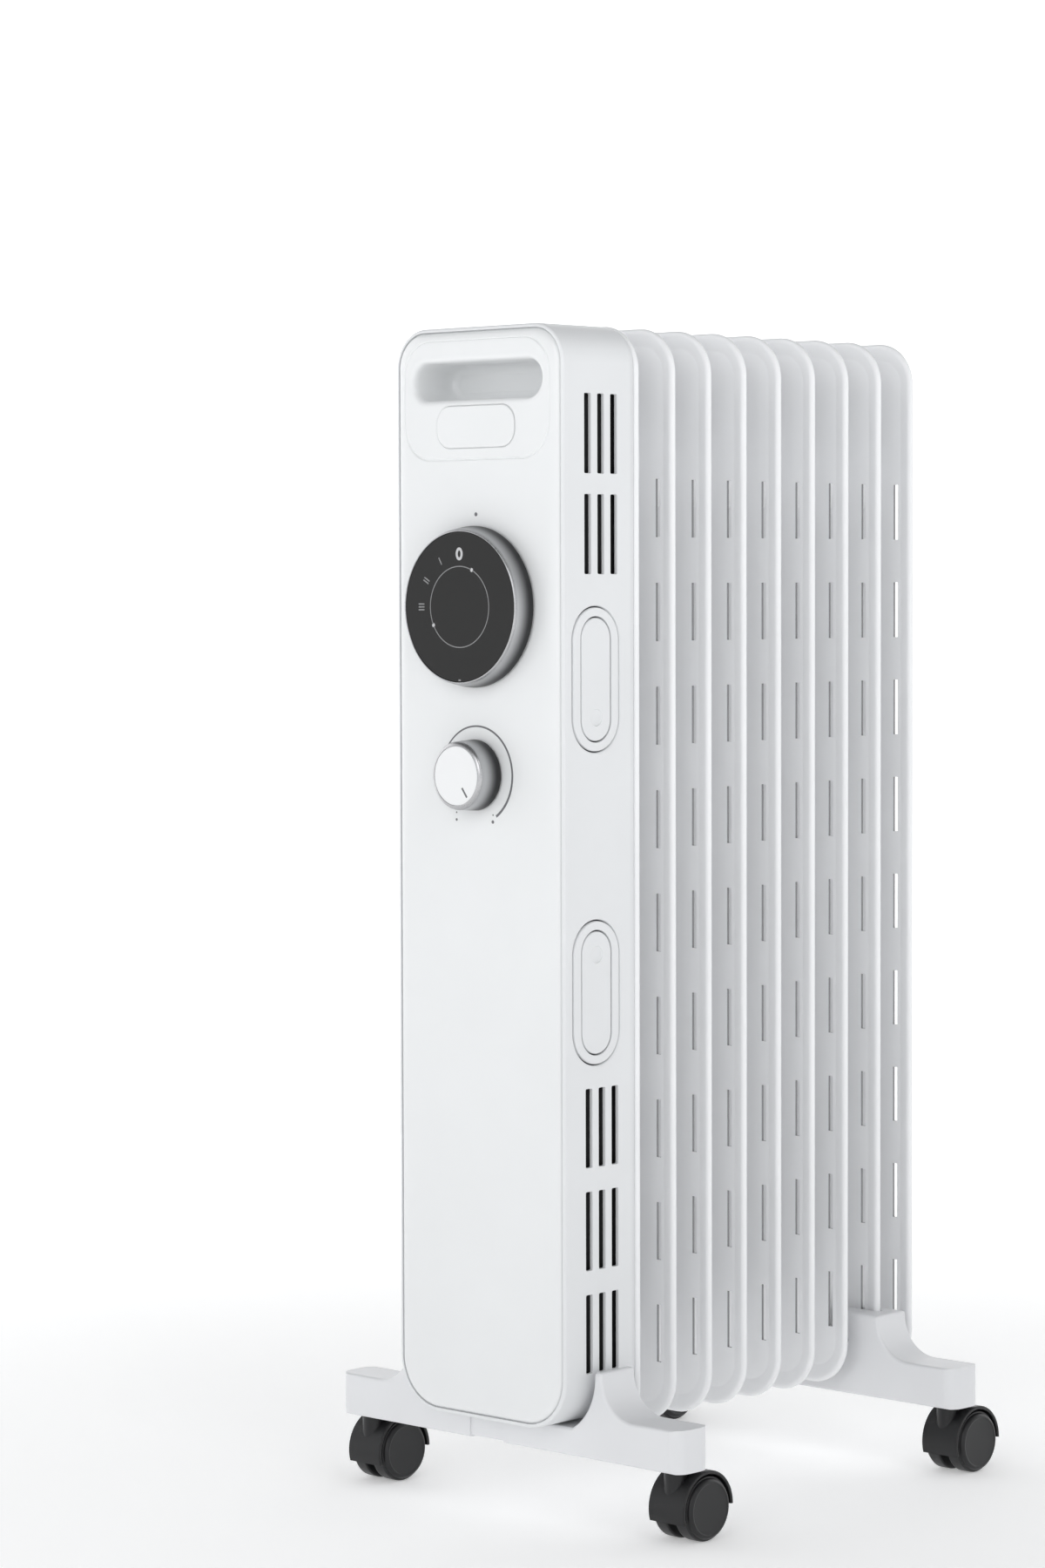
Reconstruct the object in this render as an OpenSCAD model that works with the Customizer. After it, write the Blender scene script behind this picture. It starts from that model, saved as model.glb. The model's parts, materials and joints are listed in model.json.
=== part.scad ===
// Oil filled radiator heater. Pressed steel fins are welded in a row on an upper and a lower
// header, a control column stands against the first fin, and two feet carry swivel castors.
// Millimetres, +Z up, the controls face -Y. The origin is on the floor, at the middle of the
// heater's outer box. Lengths along Y are counted from the face of the front panel.

/* [Radiator] */
// Number of fins in the row
fin_count = 9; // [6:1:9]
// Distance from one fin to the next
fin_pitch = 29; // [28:0.5:32]
// Width of a fin
fin_w = 121; // [119:1:125]
// Height of a fin
fin_h = 580; // [580:5:600]
// Height of the fins' lower edge above the floor
fin_low_z = 45.5; // [45.5:0.5:47]

/* [Control column] */
// Width of the control column
column_w = 120; // [119:1:122]
// Depth of the control column's shell behind the panel face
column_back_y = 54; // [54:0.5:55]
// Height of the column's underside above the floor
column_low_z = 53; // [53:0.5:54]
// Width of the grip recess
grip_w = 91; // [80:1:92]
// Height of the grip recess
grip_h = 19.2; // [18:0.2:22]
// Depth of the grip recess
grip_depth = 30; // [22:1:32]

/* [Knobs] */
// Diameter of the heat setting knob at its base
heat_knob_d = 84; // [76:1:86]
// Height of the heat setting knob's axis above the floor
heat_knob_z = 479.5; // [475:0.5:483]
// Diameter of the thermostat knob at its base
thermostat_knob_d = 37; // [34:1:40]
// Height of the thermostat knob's axis above the floor
thermostat_knob_z = 392; // [385:1:394]

/* [Cord hooks] */
// Width of a hook flap
hook_w = 22; // [20:0.5:23]
// Length of a hook flap
hook_h = 63.5; // [60:0.5:65]
// Height of the upper hook's middle above the floor
upper_hook_z = 442; // [436:1:450]
// Height of the lower hook's middle above the floor
lower_hook_z = 280; // [274:1:290]

/* [Feet and castors] */
// Length of a foot from tip to tip
foot_span = 246.4; // [244:0.2:260]
// Depth of a foot beam, front to back
foot_d = 26; // [25:0.5:27]
// Distance of a castor's swivel axis from the middle plane
castor_x = 109.6; // [108:0.2:110]
// Diameter of a castor wheel
wheel_d = 34; // [33:0.5:34]

/* [Hidden] */
$fn = 64;
eps = 0.01;

// Radiator
sheet = 0.8;
fin_corner_r = 24;
fin_first_y = 57;
fin_high_z = fin_low_z + fin_h;
fin_mid_z = (fin_low_z + fin_high_z) / 2;
web_front_y = 3.2;
web_back_y = web_front_y + 2 * sheet;
web_mid_y = web_front_y + sheet;
rim_w = 9;
rim_overlap = 0.3;
channel_w = 25;
channel_x = 17.5;
channel_rise = 2.6;
slot_count = 9;
slot_w = 3;
slot_h = 30.7;
slot_pitch = 54.8;
slot_inset = 13;
slot_top_gap = 79;
upper_header_z = fin_high_z - 70.5;
lower_header_z = fin_low_z + 48;
header_base_r = 33;
header_neck_r = 27.8;
header_wall = 1.2;
header_steps = 6;
header_curve = 1.35;
end_plate = 2;
plug_r = 6;
plug_head_r = 8;
plug_head_h = 3;
cap_base_r = 35.4;
cap_out = 19;
cap_wall = 1.5;
flange_r = 27.5;
flange_t = 3;
element_r = 4;
element_dx = 10;
element_dz = 8;
element_end_gap = 12;
terminal_r = 2.5;
terminal_l = 9;
wire_r = 1.2;
wire_bend = 1.15;

// Control column
column_high_z = fin_high_z - 0.5;
column_top_r = 20.5;
column_low_r = 28;
column_wall = 2;
column_front_y = 2;
edge_r = 1.5;
panel_inset = column_wall + 0.5;
panel_t = 4;
panel_soft = 8;
panel_skirt_y = 12;
panel_wall = 1.6;
grip_z = 597;
badge_z = 573;
badge_w = 55;
badge_h = 21.6;
badge_t = 0.6;
shaft_r = 3;
shaft_hole_r = 4.5;
running_gap = 0.05;
body_gap = 0.5;
vent_w = 5;
vent_h = 41;
vent_y = [20.5, 30.5, 40.5];
upper_vent_z = [568.5, 516.8];
lower_vent_z = [210, 156.5, 102.8];
back_plate_y = 52.2;
back_plate_t = 1;
bush_z = 262;
bush_y = 31;
bush_bore_r = 4.25;
bush_neck_r = 7.9;
bush_flange_r = 10;
bush_flange_t = 1.5;
bush_l = 9.5;
fin_bolt_r = 2.5;
fin_bolt_x = 46;
fin_bolt_z = 68;
spacer_r = 4;
nut_h = 4;
nut_r = 4.6;
bolt_head_h = 3.2;
bolt_head_r = 4.4;

// Knobs
heat_knob_out = 13;
heat_knob_rise = 2;
heat_face_r = heat_knob_d / 2 - 3;
thermostat_knob_out = 16;
knob_wall = 1.8;
hub_r = 6;
switch_w = 36;
switch_back_y = 24;
shaft_end_y = 11.5;
thermostat_body_w = 30;
thermostat_body_h = 42;
thermostat_back_y = 22;

// Cord hooks
hook_y = 26.5;
hook_t = 2.2;
hook_gap = 0.8;
hook_press_l = 24;
hook_pivot_in = 4.5;
hook_pin_r = 1;
hook_boss_r = 2.2;
hook_boss_half = 7;
cup_w = 36;
cup_h = 75.5;
cup_lip = 1.5;
cup_wall = 1.5;
cup_depth = 23.5;
cup_boss_r = 1.7;
cup_boss_start = 7.4;

// Feet
foot_low_z = 38;
foot_high_z = 60.5;
foot_arm_z = 84;
foot_bed_z = column_low_z - 0.3;
foot_joint_gap = 0.2;
foot_corner_r = 5;
foot_fillet_r = 21.5;
foot_arm_out_x = 70.5;
front_arm_in_x = column_w / 2 + 3.2;
front_cradle_r = column_low_r + 3.2;
rear_arm_in_x = 40;
rear_cradle_r = 12;
fin_clear = 0.2;
front_foot_y = 31;
rear_foot_y = fin_first_y + (fin_count - 2) * fin_pitch;
foot_screw_x = 27;
foot_screw_r = 2;
foot_screw_head_r = 4;
foot_screw_head_h = 3;
foot_screw_top_z = 62;

// Castors
wheel_r = wheel_d / 2;
wheel_inner_x = 2.9;
wheel_outer_x = 13.4;
wheel_bevel = 2.6;
axle_r = 2;
axle_half = 12.5;
castor_trail = 12;
hood_inner_r = wheel_r + 0.8;
hood_r = hood_inner_r + 2;
hood_half_w = 12;
hood_web_half = 2.4;
hood_hub_r = 6;
hood_front_angle = 18;
stem_r = 4;
stem_low_z = 33.2;
stem_high_z = 56;
stem_boss_r = 6;
stem_gap = 0.06;
socket_high_z = 57;
swivel_gap = 0.3;

// Overall box along Y
front_most_y = -thermostat_knob_out;
fin_last_y = fin_first_y + (fin_count - 1) * fin_pitch;
rear_most_y = fin_last_y + web_back_y + cap_out;
y_mid = (front_most_y + rear_most_y) / 2;

castor_places = [
    ["front_right", 1, front_foot_y],
    ["front_left", -1, front_foot_y],
    ["rear_right", 1, rear_foot_y],
    ["rear_left", -1, rear_foot_y]
];

// ---- Shared shapes ----

// Points of an arc round [cx, cy], from angle a0 to angle a1
function arc_points(cx, cy, r, a0, a1, n) =
    [for (i = [0:n]) let (a = a0 + (a1 - a0) * i / n) [cx + r * cos(a), cy + r * sin(a)]];

// Outline of a rounded rectangle centred on [0, cy]
function round_rect(w, h, r, cy = 0, n = 10) = concat(
    arc_points(w / 2 - r, cy + h / 2 - r, r, 0, 90, n),
    arc_points(-w / 2 + r, cy + h / 2 - r, r, 90, 180, n),
    arc_points(-w / 2 + r, cy - h / 2 + r, r, 180, 270, n),
    arc_points(w / 2 - r, cy - h / 2 + r, r, 270, 360, n)
);

// Outline of the control column in X and Z, drawn in by inset; its lower corners are the rounder
function column_outline(inset) = let (
    x = column_w / 2 - inset, low_r = column_low_r - inset, top_r = column_top_r - inset,
    z0 = column_low_z + inset, z1 = column_high_z - inset
) concat(
    arc_points(x - top_r, z1 - top_r, top_r, 0, 90, 12),
    arc_points(-x + top_r, z1 - top_r, top_r, 90, 180, 12),
    arc_points(-x + low_r, z0 + low_r, low_r, 180, 270, 12),
    arc_points(x - low_r, z0 + low_r, low_r, 270, 360, 12)
);

// Moves a sub-part from panel-face lengths to the heater's own origin
module seated() {
    translate([0, -y_mid, 0]) children();
}

// A flat shape in X and Z, extruded from y0 to y1
module along_y(y0, y1) {
    translate([0, y1, 0]) rotate([90, 0, 0]) linear_extrude(y1 - y0) children();
}

// A flat shape in Y and Z, extruded from x0 to x1
module along_x(x0, x1) {
    translate([x0, 0, 0]) rotate([90, 0, 90]) linear_extrude(x1 - x0) children();
}

// A round bar along Y
module bar_y(r, x, z, y0, y1) {
    translate([x, y0, z]) rotate([-90, 0, 0]) cylinder(r = r, h = y1 - y0);
}

// A round bar along X
module bar_x(r, y, z, x0, x1) {
    translate([x0, y, z]) rotate([0, 90, 0]) cylinder(r = r, h = x1 - x0);
}

// A body of revolution round an axis along Y at [x, z]; the profile is [radius, y]
module spun_y(x, z, profile) {
    translate([x, 0, z]) rotate([-90, 0, 0]) rotate_extrude() polygon(profile);
}

// A straight edge along Z, from z0 to z1; the profile is [distance in from the edge, y]
module edge_bar(profile, z0, z1) {
    translate([0, 0, z0])
        linear_extrude(z1 - z0) polygon([for (p = profile) [-p[0], p[1]]]);
}

// A quarter turn of the same profile, round a corner of radius r
module edge_corner(profile, r) {
    rotate([-90, 0, 0])
        rotate([0, 0, -90])
            rotate_extrude(angle = 90) polygon([for (p = profile) [r - p[0], p[1]]]);
}

// The profile carried round a rounded rectangle whose lower and upper corners may differ
module edge_frame(profile, w, z0, z1, low_r, top_r) {
    for (m = [0, 1]) mirror([m, 0, 0]) {
        translate([w / 2, 0, 0]) edge_bar(profile, z0 + low_r, z1 - top_r);
        translate([w / 2 - top_r, 0, z1 - top_r]) edge_corner(profile, top_r);
        translate([w / 2 - low_r, 0, z0 + low_r]) mirror([0, 0, 1]) edge_corner(profile, low_r);
    }
    translate([0, 0, z1]) rotate([0, -90, 0]) edge_bar(profile, -w / 2 + top_r, w / 2 - top_r);
    translate([0, 0, z0]) rotate([0, 90, 0]) edge_bar(profile, -w / 2 + low_r, w / 2 - low_r);
}

// A wire through a list of points, with a slightly fuller bead at each bend
module wire(points, r) {
    for (i = [0:len(points) - 2]) {
        run = points[i + 1] - points[i];
        l = norm(run);
        translate(points[i])
            rotate([0, acos(run[2] / l), atan2(run[1], run[0])])
                cylinder(r = r, h = l, $fn = 8);
    }
    for (i = [1:len(points) - 2]) translate(points[i]) sphere(r = wire_bend * r, $fn = 8);
}

// ---- Radiator ----

// Cross-section of the rolled rim: [distance in from the fin's edge, y]
rim_profile = [
    [0, 4], [0, 1], [0.3, 0.3], [1, 0], [2.8, 0], [4.4, 0.5], [6.6, 2.4], [8.4, web_front_y],
    [rim_w, web_front_y], [rim_w, web_back_y], [7.8, web_back_y], [5.6, 3.9], [3.7, 2.1],
    [2.6, 1.6], [2, 1.8], [1.6, 2.2], [1.6, 4]
];

// Half a header barrel as [radius, y], from the middle plane of the fin outwards
function barrel_curve(side, inset) = [
    for (i = [0:header_steps])
        let (t = i / header_steps)
        [header_neck_r - inset + (header_base_r - header_neck_r) * pow(1 - t, header_curve),
            web_mid_y + side * t * fin_pitch / 2]
];

module barrel(z, side, inset) {
    curve = barrel_curve(side, inset);
    end_y = web_mid_y + side * fin_pitch / 2;
    spun_y(0, z, concat([[0, web_mid_y]], curve, [[0, end_y]]));
}

module oil_channels(inset) {
    l = upper_header_z - lower_header_z;
    w = channel_w - 2 * inset;
    for (s = [-1, 1])
        translate([s * channel_x, 0, 0])
            along_y(web_front_y - channel_rise + inset, web_back_y + channel_rise - inset)
                polygon(round_rect(w, l, w / 2 - 0.1, (upper_header_z + lower_header_z) / 2, 6));
}

module air_slots() {
    for (k = [0:slot_count - 1], s = [-1, 1])
        translate([s * (fin_w / 2 - slot_inset) - slot_w / 2, 0,
            fin_high_z - slot_top_gap - slot_h - k * slot_pitch])
            cube([slot_w, web_back_y + 1, slot_h]);
}

// One fin: two sheets welded at the rim, with a half barrel on each side of both headers
module fin(i) {
    is_first = i == 1;
    is_last = i == fin_count;
    web_inset = rim_w - rim_overlap;
    color("white") seated() translate([0, fin_first_y + (i - 1) * fin_pitch, 0]) {
        difference() {
            union() {
                edge_frame(rim_profile, fin_w, fin_low_z, fin_high_z, fin_corner_r, fin_corner_r);
                along_y(web_front_y, web_back_y)
                    polygon(round_rect(fin_w - 2 * web_inset, fin_h - 2 * web_inset,
                        fin_corner_r - web_inset, fin_mid_z));
                oil_channels(0);
                for (z = [lower_header_z, upper_header_z], side = [-1, 1]) barrel(z, side, 0);
            }
            oil_channels(sheet);
            for (z = [lower_header_z, upper_header_z], side = [-1, 1]) barrel(z, side, header_wall);
            air_slots();
            if (is_first)
                for (z = [lower_header_z, upper_header_z]) bar_y(header_base_r, 0, z, -fin_pitch, 0);
            if (is_first || i == fin_count - 1)
                for (s = [-1, 1])
                    bar_y(fin_bolt_r + 0.1, s * fin_bolt_x, fin_bolt_z, 0, web_back_y + 1);
        }
        inner_r = header_neck_r - header_wall + eps;
        if (is_last) {
            end_y = web_mid_y + fin_pitch / 2;
            difference() {
                bar_y(inner_r, 0, upper_header_z, end_y - end_plate, end_y);
                bar_y(plug_r, 0, upper_header_z, end_y - end_plate - 1, end_y + 1);
            }
            bar_y(inner_r, 0, lower_header_z, end_y - end_plate, end_y);
        }
    }
}

// Wall of a neck as [radius, y], from the first fin's front plane forward into the column
function neck_curve(inset) = [
    for (i = [0:header_steps])
        let (start = web_mid_y / (fin_pitch / 2), t = start + (1 - start) * i / header_steps)
        [header_neck_r - inset + (header_base_r - header_neck_r) * pow(1 - t, header_curve),
            web_mid_y - t * fin_pitch / 2]
];

// Front ends of both headers; the upper one is shut by a plate
module header_necks() {
    inner = neck_curve(header_wall);
    front_y = web_mid_y - fin_pitch / 2;
    color("white") seated() translate([0, fin_first_y, 0]) {
        for (z = [lower_header_z, upper_header_z])
            spun_y(0, z, concat(neck_curve(0), [for (i = [header_steps:-1:0]) inner[i]]));
        bar_y(header_neck_r - header_wall + eps, 0, upper_header_z, front_y, front_y + end_plate);
    }
}

// Caps over the rear ends of both headers; y is counted from the back of the last fin's web
module end_caps() {
    inner_end = cap_out - cap_wall;
    color("white") seated() translate([0, fin_last_y + web_back_y, 0])
        difference() {
            for (z = [lower_header_z, upper_header_z])
                spun_y(0, z, [
                    [cap_base_r, 0], [cap_base_r - 0.6, 7], [cap_base_r - 2.4, 12.5],
                    [cap_base_r - 4.6, 16.6], [cap_base_r - 7.4, cap_out - 0.4],
                    [cap_base_r - 9, cap_out], [0, cap_out], [0, inner_end],
                    [cap_base_r - 9.4, inner_end], [cap_base_r - 6, 15], [cap_base_r - 4, 11.6],
                    [cap_base_r - 2.1, 6.5], [cap_base_r - cap_wall, 0]
                ]);
            translate([0, -web_back_y, 0]) oil_channels(-fin_clear);
        }
}

module oil_fill_plug() {
    end_y = fin_last_y + web_mid_y + fin_pitch / 2;
    color("silver") seated() {
        bar_y(plug_r, 0, upper_header_z, end_y - end_plate, end_y);
        translate([0, end_y, upper_header_z]) rotate([-90, 0, 0])
            cylinder(r = plug_head_r, h = plug_head_h, $fn = 6);
    }
}

flange_back_y = fin_first_y + web_mid_y - fin_pitch / 2;

module heater_flange() {
    color("silver") seated() {
        bar_y(flange_r, 0, lower_header_z, flange_back_y - flange_t, flange_back_y);
        for (s = [-1, 1], t = [-1, 1])
            bar_y(terminal_r, s * 14, lower_header_z + t * element_dz,
                flange_back_y - flange_t - terminal_l, flange_back_y - flange_t);
    }
}

// Two hairpin heating tubes in the lower header, butted on the flange
module heating_elements() {
    bend_y = fin_last_y - element_end_gap;
    color("dimgray") seated()
        for (s = [-1, 1]) translate([s * element_dx, 0, lower_header_z]) {
            for (t = [-1, 1]) bar_y(element_r, 0, t * element_dz, flange_back_y, bend_y);
            translate([0, bend_y, 0]) rotate([0, 90, 0]) rotate([0, 0, 0])
                rotate_extrude(angle = 180) translate([element_dz, 0]) circle(r = element_r);
        }
}

// ---- Control column ----

// Cross-section of the column's shell, rounded at its front and back edges
housing_profile = [
    [0, column_front_y + edge_r], [edge_r * 0.3, column_front_y + edge_r * 0.3],
    [edge_r, column_front_y], [column_wall, column_front_y], [column_wall, column_back_y],
    [edge_r, column_back_y], [edge_r * 0.3, column_back_y - edge_r * 0.3], [0, column_back_y - edge_r]
];

module control_housing() {
    color("white") seated() difference() {
        edge_frame(housing_profile, column_w, column_low_z, column_high_z, column_low_r, column_top_r);
        for (y = vent_y, z = concat(upper_vent_z, lower_vent_z))
            translate([-column_w / 2 - 1, y - vent_w / 2, z - vent_h / 2])
                cube([column_w + 2, vent_w, vent_h]);
        for (z = [upper_hook_z, lower_hook_z])
            translate([0, hook_y, z]) along_x(column_w / 2 - column_wall - 1, column_w / 2 + 1)
                polygon(round_rect(cup_w, cup_h, cup_w / 2 - 0.1));
        bar_x(bush_neck_r, bush_y, bush_z, -column_w / 2 - 1, -column_w / 2 + column_wall + 1);
        for (s = [-1, 1])
            translate([s * foot_screw_x, front_foot_y, column_low_z - 1])
                cylinder(r = foot_screw_r, h = column_wall + 2);
    }
}

// Cross-section of the front panel's soft edge and of the skirt behind it
panel_profile = [
    [panel_soft + rim_overlap, 0], [panel_soft * 0.62, 0.2], [panel_soft * 0.34, 0.7],
    [panel_soft * 0.14, 1.5], [panel_soft * 0.03, 2.5], [0, panel_t], [0, panel_skirt_y],
    [panel_wall, panel_skirt_y], [panel_wall, panel_t], [panel_soft + rim_overlap, panel_t]
];

// Flat outline of the grip recess, widened by the given margin
function grip_outline(margin) =
    round_rect(grip_w + 2 * margin, grip_h + 2 * margin, grip_h / 2 + margin - 0.1, grip_z);

module front_panel() {
    color("white") seated() difference() {
        union() {
            edge_frame(panel_profile, column_w - 2 * panel_inset, column_low_z + panel_inset,
                column_high_z - panel_inset, column_low_r - panel_inset, column_top_r - panel_inset);
            along_y(0, panel_t) polygon(column_outline(panel_inset + panel_soft));
            along_y(panel_t - 1, grip_depth + panel_wall) polygon(grip_outline(panel_wall));
        }
        along_y(-1, grip_depth) polygon(grip_outline(0));
        for (z = [heat_knob_z, thermostat_knob_z]) bar_y(shaft_hole_r, 0, z, -1, panel_t + 1);
    }
}

module back_plate() {
    color("lightgray") seated() difference() {
        along_y(back_plate_y, back_plate_y + back_plate_t)
            polygon(column_outline(column_wall + 0.2));
        for (z = [lower_header_z, upper_header_z])
            bar_y(header_base_r - 1.5, 0, z, back_plate_y - 1, column_back_y);
        for (s = [-1, 1])
            bar_y(fin_bolt_r + 0.1, s * fin_bolt_x, fin_bolt_z, back_plate_y - 1, column_back_y);
    }
}

module badge_plate() {
    color("gainsboro") seated() translate([0, 0, badge_z])
        along_y(-badge_t, 0) polygon(round_rect(badge_w, badge_h, badge_h * 0.42));
}

// Cup-shaped knob: the skirt, the disc under its face and the hub round the shaft
module knob_body(z, r, out, face_step, rise) {
    color("white") seated() spun_y(0, z, [
        [r, -body_gap], [r - rise, -out + face_step], [0, -out + face_step],
        [0, -out + face_step + knob_wall], [shaft_r, -out + face_step + knob_wall], [shaft_r, -body_gap],
        [hub_r, -body_gap], [hub_r, -out + face_step + knob_wall],
        [r - rise - knob_wall, -out + face_step + knob_wall], [r - knob_wall, -body_gap]
    ]);
}

module heat_knob() {
    knob_body(heat_knob_z, heat_knob_d / 2, heat_knob_out, 2, heat_knob_rise);
}

module heat_knob_ring() {
    r = heat_knob_d / 2 - heat_knob_rise;
    color("silver") seated() spun_y(0, heat_knob_z, [
        [heat_face_r, -heat_knob_out + 2], [r, -heat_knob_out + 2], [r - 0.1, -heat_knob_out + 0.5],
        [r - 0.5, -heat_knob_out], [heat_face_r, -heat_knob_out]
    ]);
}

module heat_knob_face() {
    color("black") seated()
        bar_y(heat_face_r - 0.1, 0, heat_knob_z, -heat_knob_out + 0.3, -heat_knob_out + 2);
}

module heat_switch_shaft() {
    color("silver") seated()
        bar_y(shaft_r, 0, heat_knob_z, -heat_knob_out + 2 + knob_wall, shaft_end_y);
}

module heat_switch() {
    color("dimgray") seated() difference() {
        translate([-switch_w / 2, panel_t, heat_knob_z - switch_w / 2])
            cube([switch_w, switch_back_y - panel_t, switch_w]);
        bar_y(shaft_r + running_gap, 0, heat_knob_z, panel_t - 1, shaft_end_y + 1);
    }
}

module thermostat_knob() {
    knob_body(thermostat_knob_z, thermostat_knob_d / 2, thermostat_knob_out, 0.8, 0.8);
}

module thermostat_knob_ring() {
    r = thermostat_knob_d / 2 - 0.8;
    color("silver") seated() spun_y(0, thermostat_knob_z, [
        [r - 1.6, -thermostat_knob_out + 0.8], [r, -thermostat_knob_out + 0.8],
        [r - 0.6, -thermostat_knob_out], [r - 1.6, -thermostat_knob_out]
    ]);
}

module thermostat_shaft() {
    color("silver") seated()
        bar_y(shaft_r, 0, thermostat_knob_z, -thermostat_knob_out + 0.8 + knob_wall, shaft_end_y);
}

module thermostat() {
    color("ivory") seated() difference() {
        translate([-thermostat_body_w / 2, panel_t, thermostat_knob_z - thermostat_body_h / 2])
            cube([thermostat_body_w, thermostat_back_y - panel_t, thermostat_body_h]);
        bar_y(shaft_r + running_gap, 0, thermostat_knob_z, panel_t - 1, shaft_end_y + 1);
    }
}

terminal_size = [44, 16, 18];
terminal_corner = [-50, back_plate_y - terminal_size[1], 234];

module terminal_block() {
    color("ivory") seated() difference() {
        translate(terminal_corner) cube(terminal_size);
        for (k = [0:2])
            bar_y(2, terminal_corner[0] + 8 + 14 * k, terminal_corner[2] + terminal_size[2] / 2,
                terminal_corner[1] - 1, terminal_corner[1] + 8);
    }
}

module thermal_cutout() {
    color("dimgray") seated()
        bar_y(8, 0, lower_header_z, flange_back_y - flange_t - 8, flange_back_y - flange_t);
}

tip_switch_size = [28, 16, 22];
tip_switch_corner = [-14, 22, column_low_z + column_wall];

module tip_over_switch() {
    color("ivory") seated() translate(tip_switch_corner) cube(tip_switch_size);
}

// Wires from the terminal block up to the controls and down to the heater's terminals
module internal_wires() {
    block_top = terminal_corner[2] + terminal_size[2];
    block_y = terminal_corner[1] + terminal_size[1] / 2;
    flange_y = flange_back_y - flange_t - terminal_l;
    color("saddlebrown") seated() {
        wire([[-42, block_y, block_top], [-42, block_y, 300], [-10, 16, 340],
            [-10, 16, thermostat_knob_z - thermostat_body_h / 2]], wire_r);
        wire([[-10, 12, thermostat_knob_z + thermostat_body_h / 2], [-10, 14, 436],
            [-10, 16, heat_knob_z - switch_w / 2]], wire_r);
        wire([[10, 16, heat_knob_z - switch_w / 2], [22, 30, 430], [22, 30, 140],
            [14, flange_y - 10, lower_header_z + element_dz],
            [14, flange_y, lower_header_z + element_dz]], wire_r);
        wire([[-28, block_y, terminal_corner[2]], [-28, 34, 190], [-28, 30, 130],
            [-14, flange_y - 10, lower_header_z + element_dz],
            [-14, flange_y, lower_header_z + element_dz]], wire_r);
        wire([[-34, block_y, terminal_corner[2]], [-38, 30, 180], [-30, 28, 110],
            [-8, 28, tip_switch_corner[2] + tip_switch_size[2]]], wire_r);
    }
}

module cord_bush() {
    x0 = -column_w / 2;
    color("dimgray") seated() difference() {
        union() {
            bar_x(bush_flange_r, bush_y, bush_z, x0 - bush_flange_t, x0);
            bar_x(bush_neck_r, bush_y, bush_z, x0 - 0.5, x0 - bush_flange_t + bush_l);
        }
        bar_x(bush_bore_r, bush_y, bush_z, x0 - bush_flange_t - 1, x0 + bush_l);
    }
}

// ---- Cord hooks ----

hook_pivot_x = column_w / 2 - hook_pivot_in;

// dir is 1 where the free end of the hook points up, -1 where it points down
function hook_pivot_z(z, dir) = z - dir * (hook_h / 2 - hook_press_l);

module hook(z, dir) {
    pivot_z = hook_pivot_z(z, dir);
    press_z = pivot_z - dir * 12;
    color("white") seated() difference() {
        union() {
            translate([0, hook_y, z]) along_x(column_w / 2 - hook_t, column_w / 2)
                polygon(round_rect(hook_w, hook_h, hook_w / 2 - 0.1));
            bar_y(hook_boss_r, hook_pivot_x, pivot_z, hook_y - hook_boss_half, hook_y + hook_boss_half);
            translate([hook_pivot_x, hook_y - hook_boss_half, pivot_z - 1.6])
                cube([hook_pivot_in - hook_t + 0.5, 2 * hook_boss_half, 3.2]);
        }
        bar_y(hook_pin_r + running_gap, hook_pivot_x, pivot_z, hook_y - hook_w, hook_y + hook_w);
        bar_x(4, hook_y, press_z, column_w / 2 - 0.3, column_w / 2 + 1);
    }
}

module hook_cup(z, dir) {
    pivot_z = hook_pivot_z(z, dir);
    pocket_w = hook_w + 2 * hook_gap;
    pocket_h = hook_h + 2 * hook_gap;
    floor_x = column_w / 2 - cup_depth;
    difference() {
        union() {
            difference() {
                union() {
                    translate([0, hook_y, z]) along_x(column_w / 2 - cup_lip, column_w / 2)
                        polygon(round_rect(cup_w, cup_h, cup_w / 2 - 0.1));
                    translate([0, hook_y, z]) along_x(floor_x - cup_wall, column_w / 2 - 0.5)
                        polygon(round_rect(pocket_w + 2 * cup_wall, pocket_h + 2 * cup_wall,
                            pocket_w / 2 + cup_wall - 0.1));
                }
                translate([0, hook_y, z]) along_x(floor_x, column_w / 2 + 1)
                    polygon(round_rect(pocket_w, pocket_h, pocket_w / 2 - 0.1));
            }
            for (s = [-1, 1]) {
                y0 = s > 0 ? hook_y + cup_boss_start : hook_y - pocket_w / 2 - 0.5;
                y1 = s > 0 ? hook_y + pocket_w / 2 + 0.5 : hook_y - cup_boss_start;
                bar_y(cup_boss_r, hook_pivot_x, pivot_z, y0, y1);
            }
        }
        bar_y(hook_pin_r, hook_pivot_x, pivot_z, hook_y - pocket_w / 2, hook_y + pocket_w / 2);
    }
}

module hook_cups() {
    color("white") seated() {
        hook_cup(upper_hook_z, 1);
        hook_cup(lower_hook_z, -1);
    }
}

module hook_pins() {
    half = hook_w / 2 + hook_gap - 0.05;
    color("silver") seated() {
        bar_y(hook_pin_r, hook_pivot_x, hook_pivot_z(upper_hook_z, 1), hook_y - half, hook_y + half);
        bar_y(hook_pin_r, hook_pivot_x, hook_pivot_z(lower_hook_z, -1), hook_y - half, hook_y + half);
    }
}

// ---- Feet ----

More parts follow.
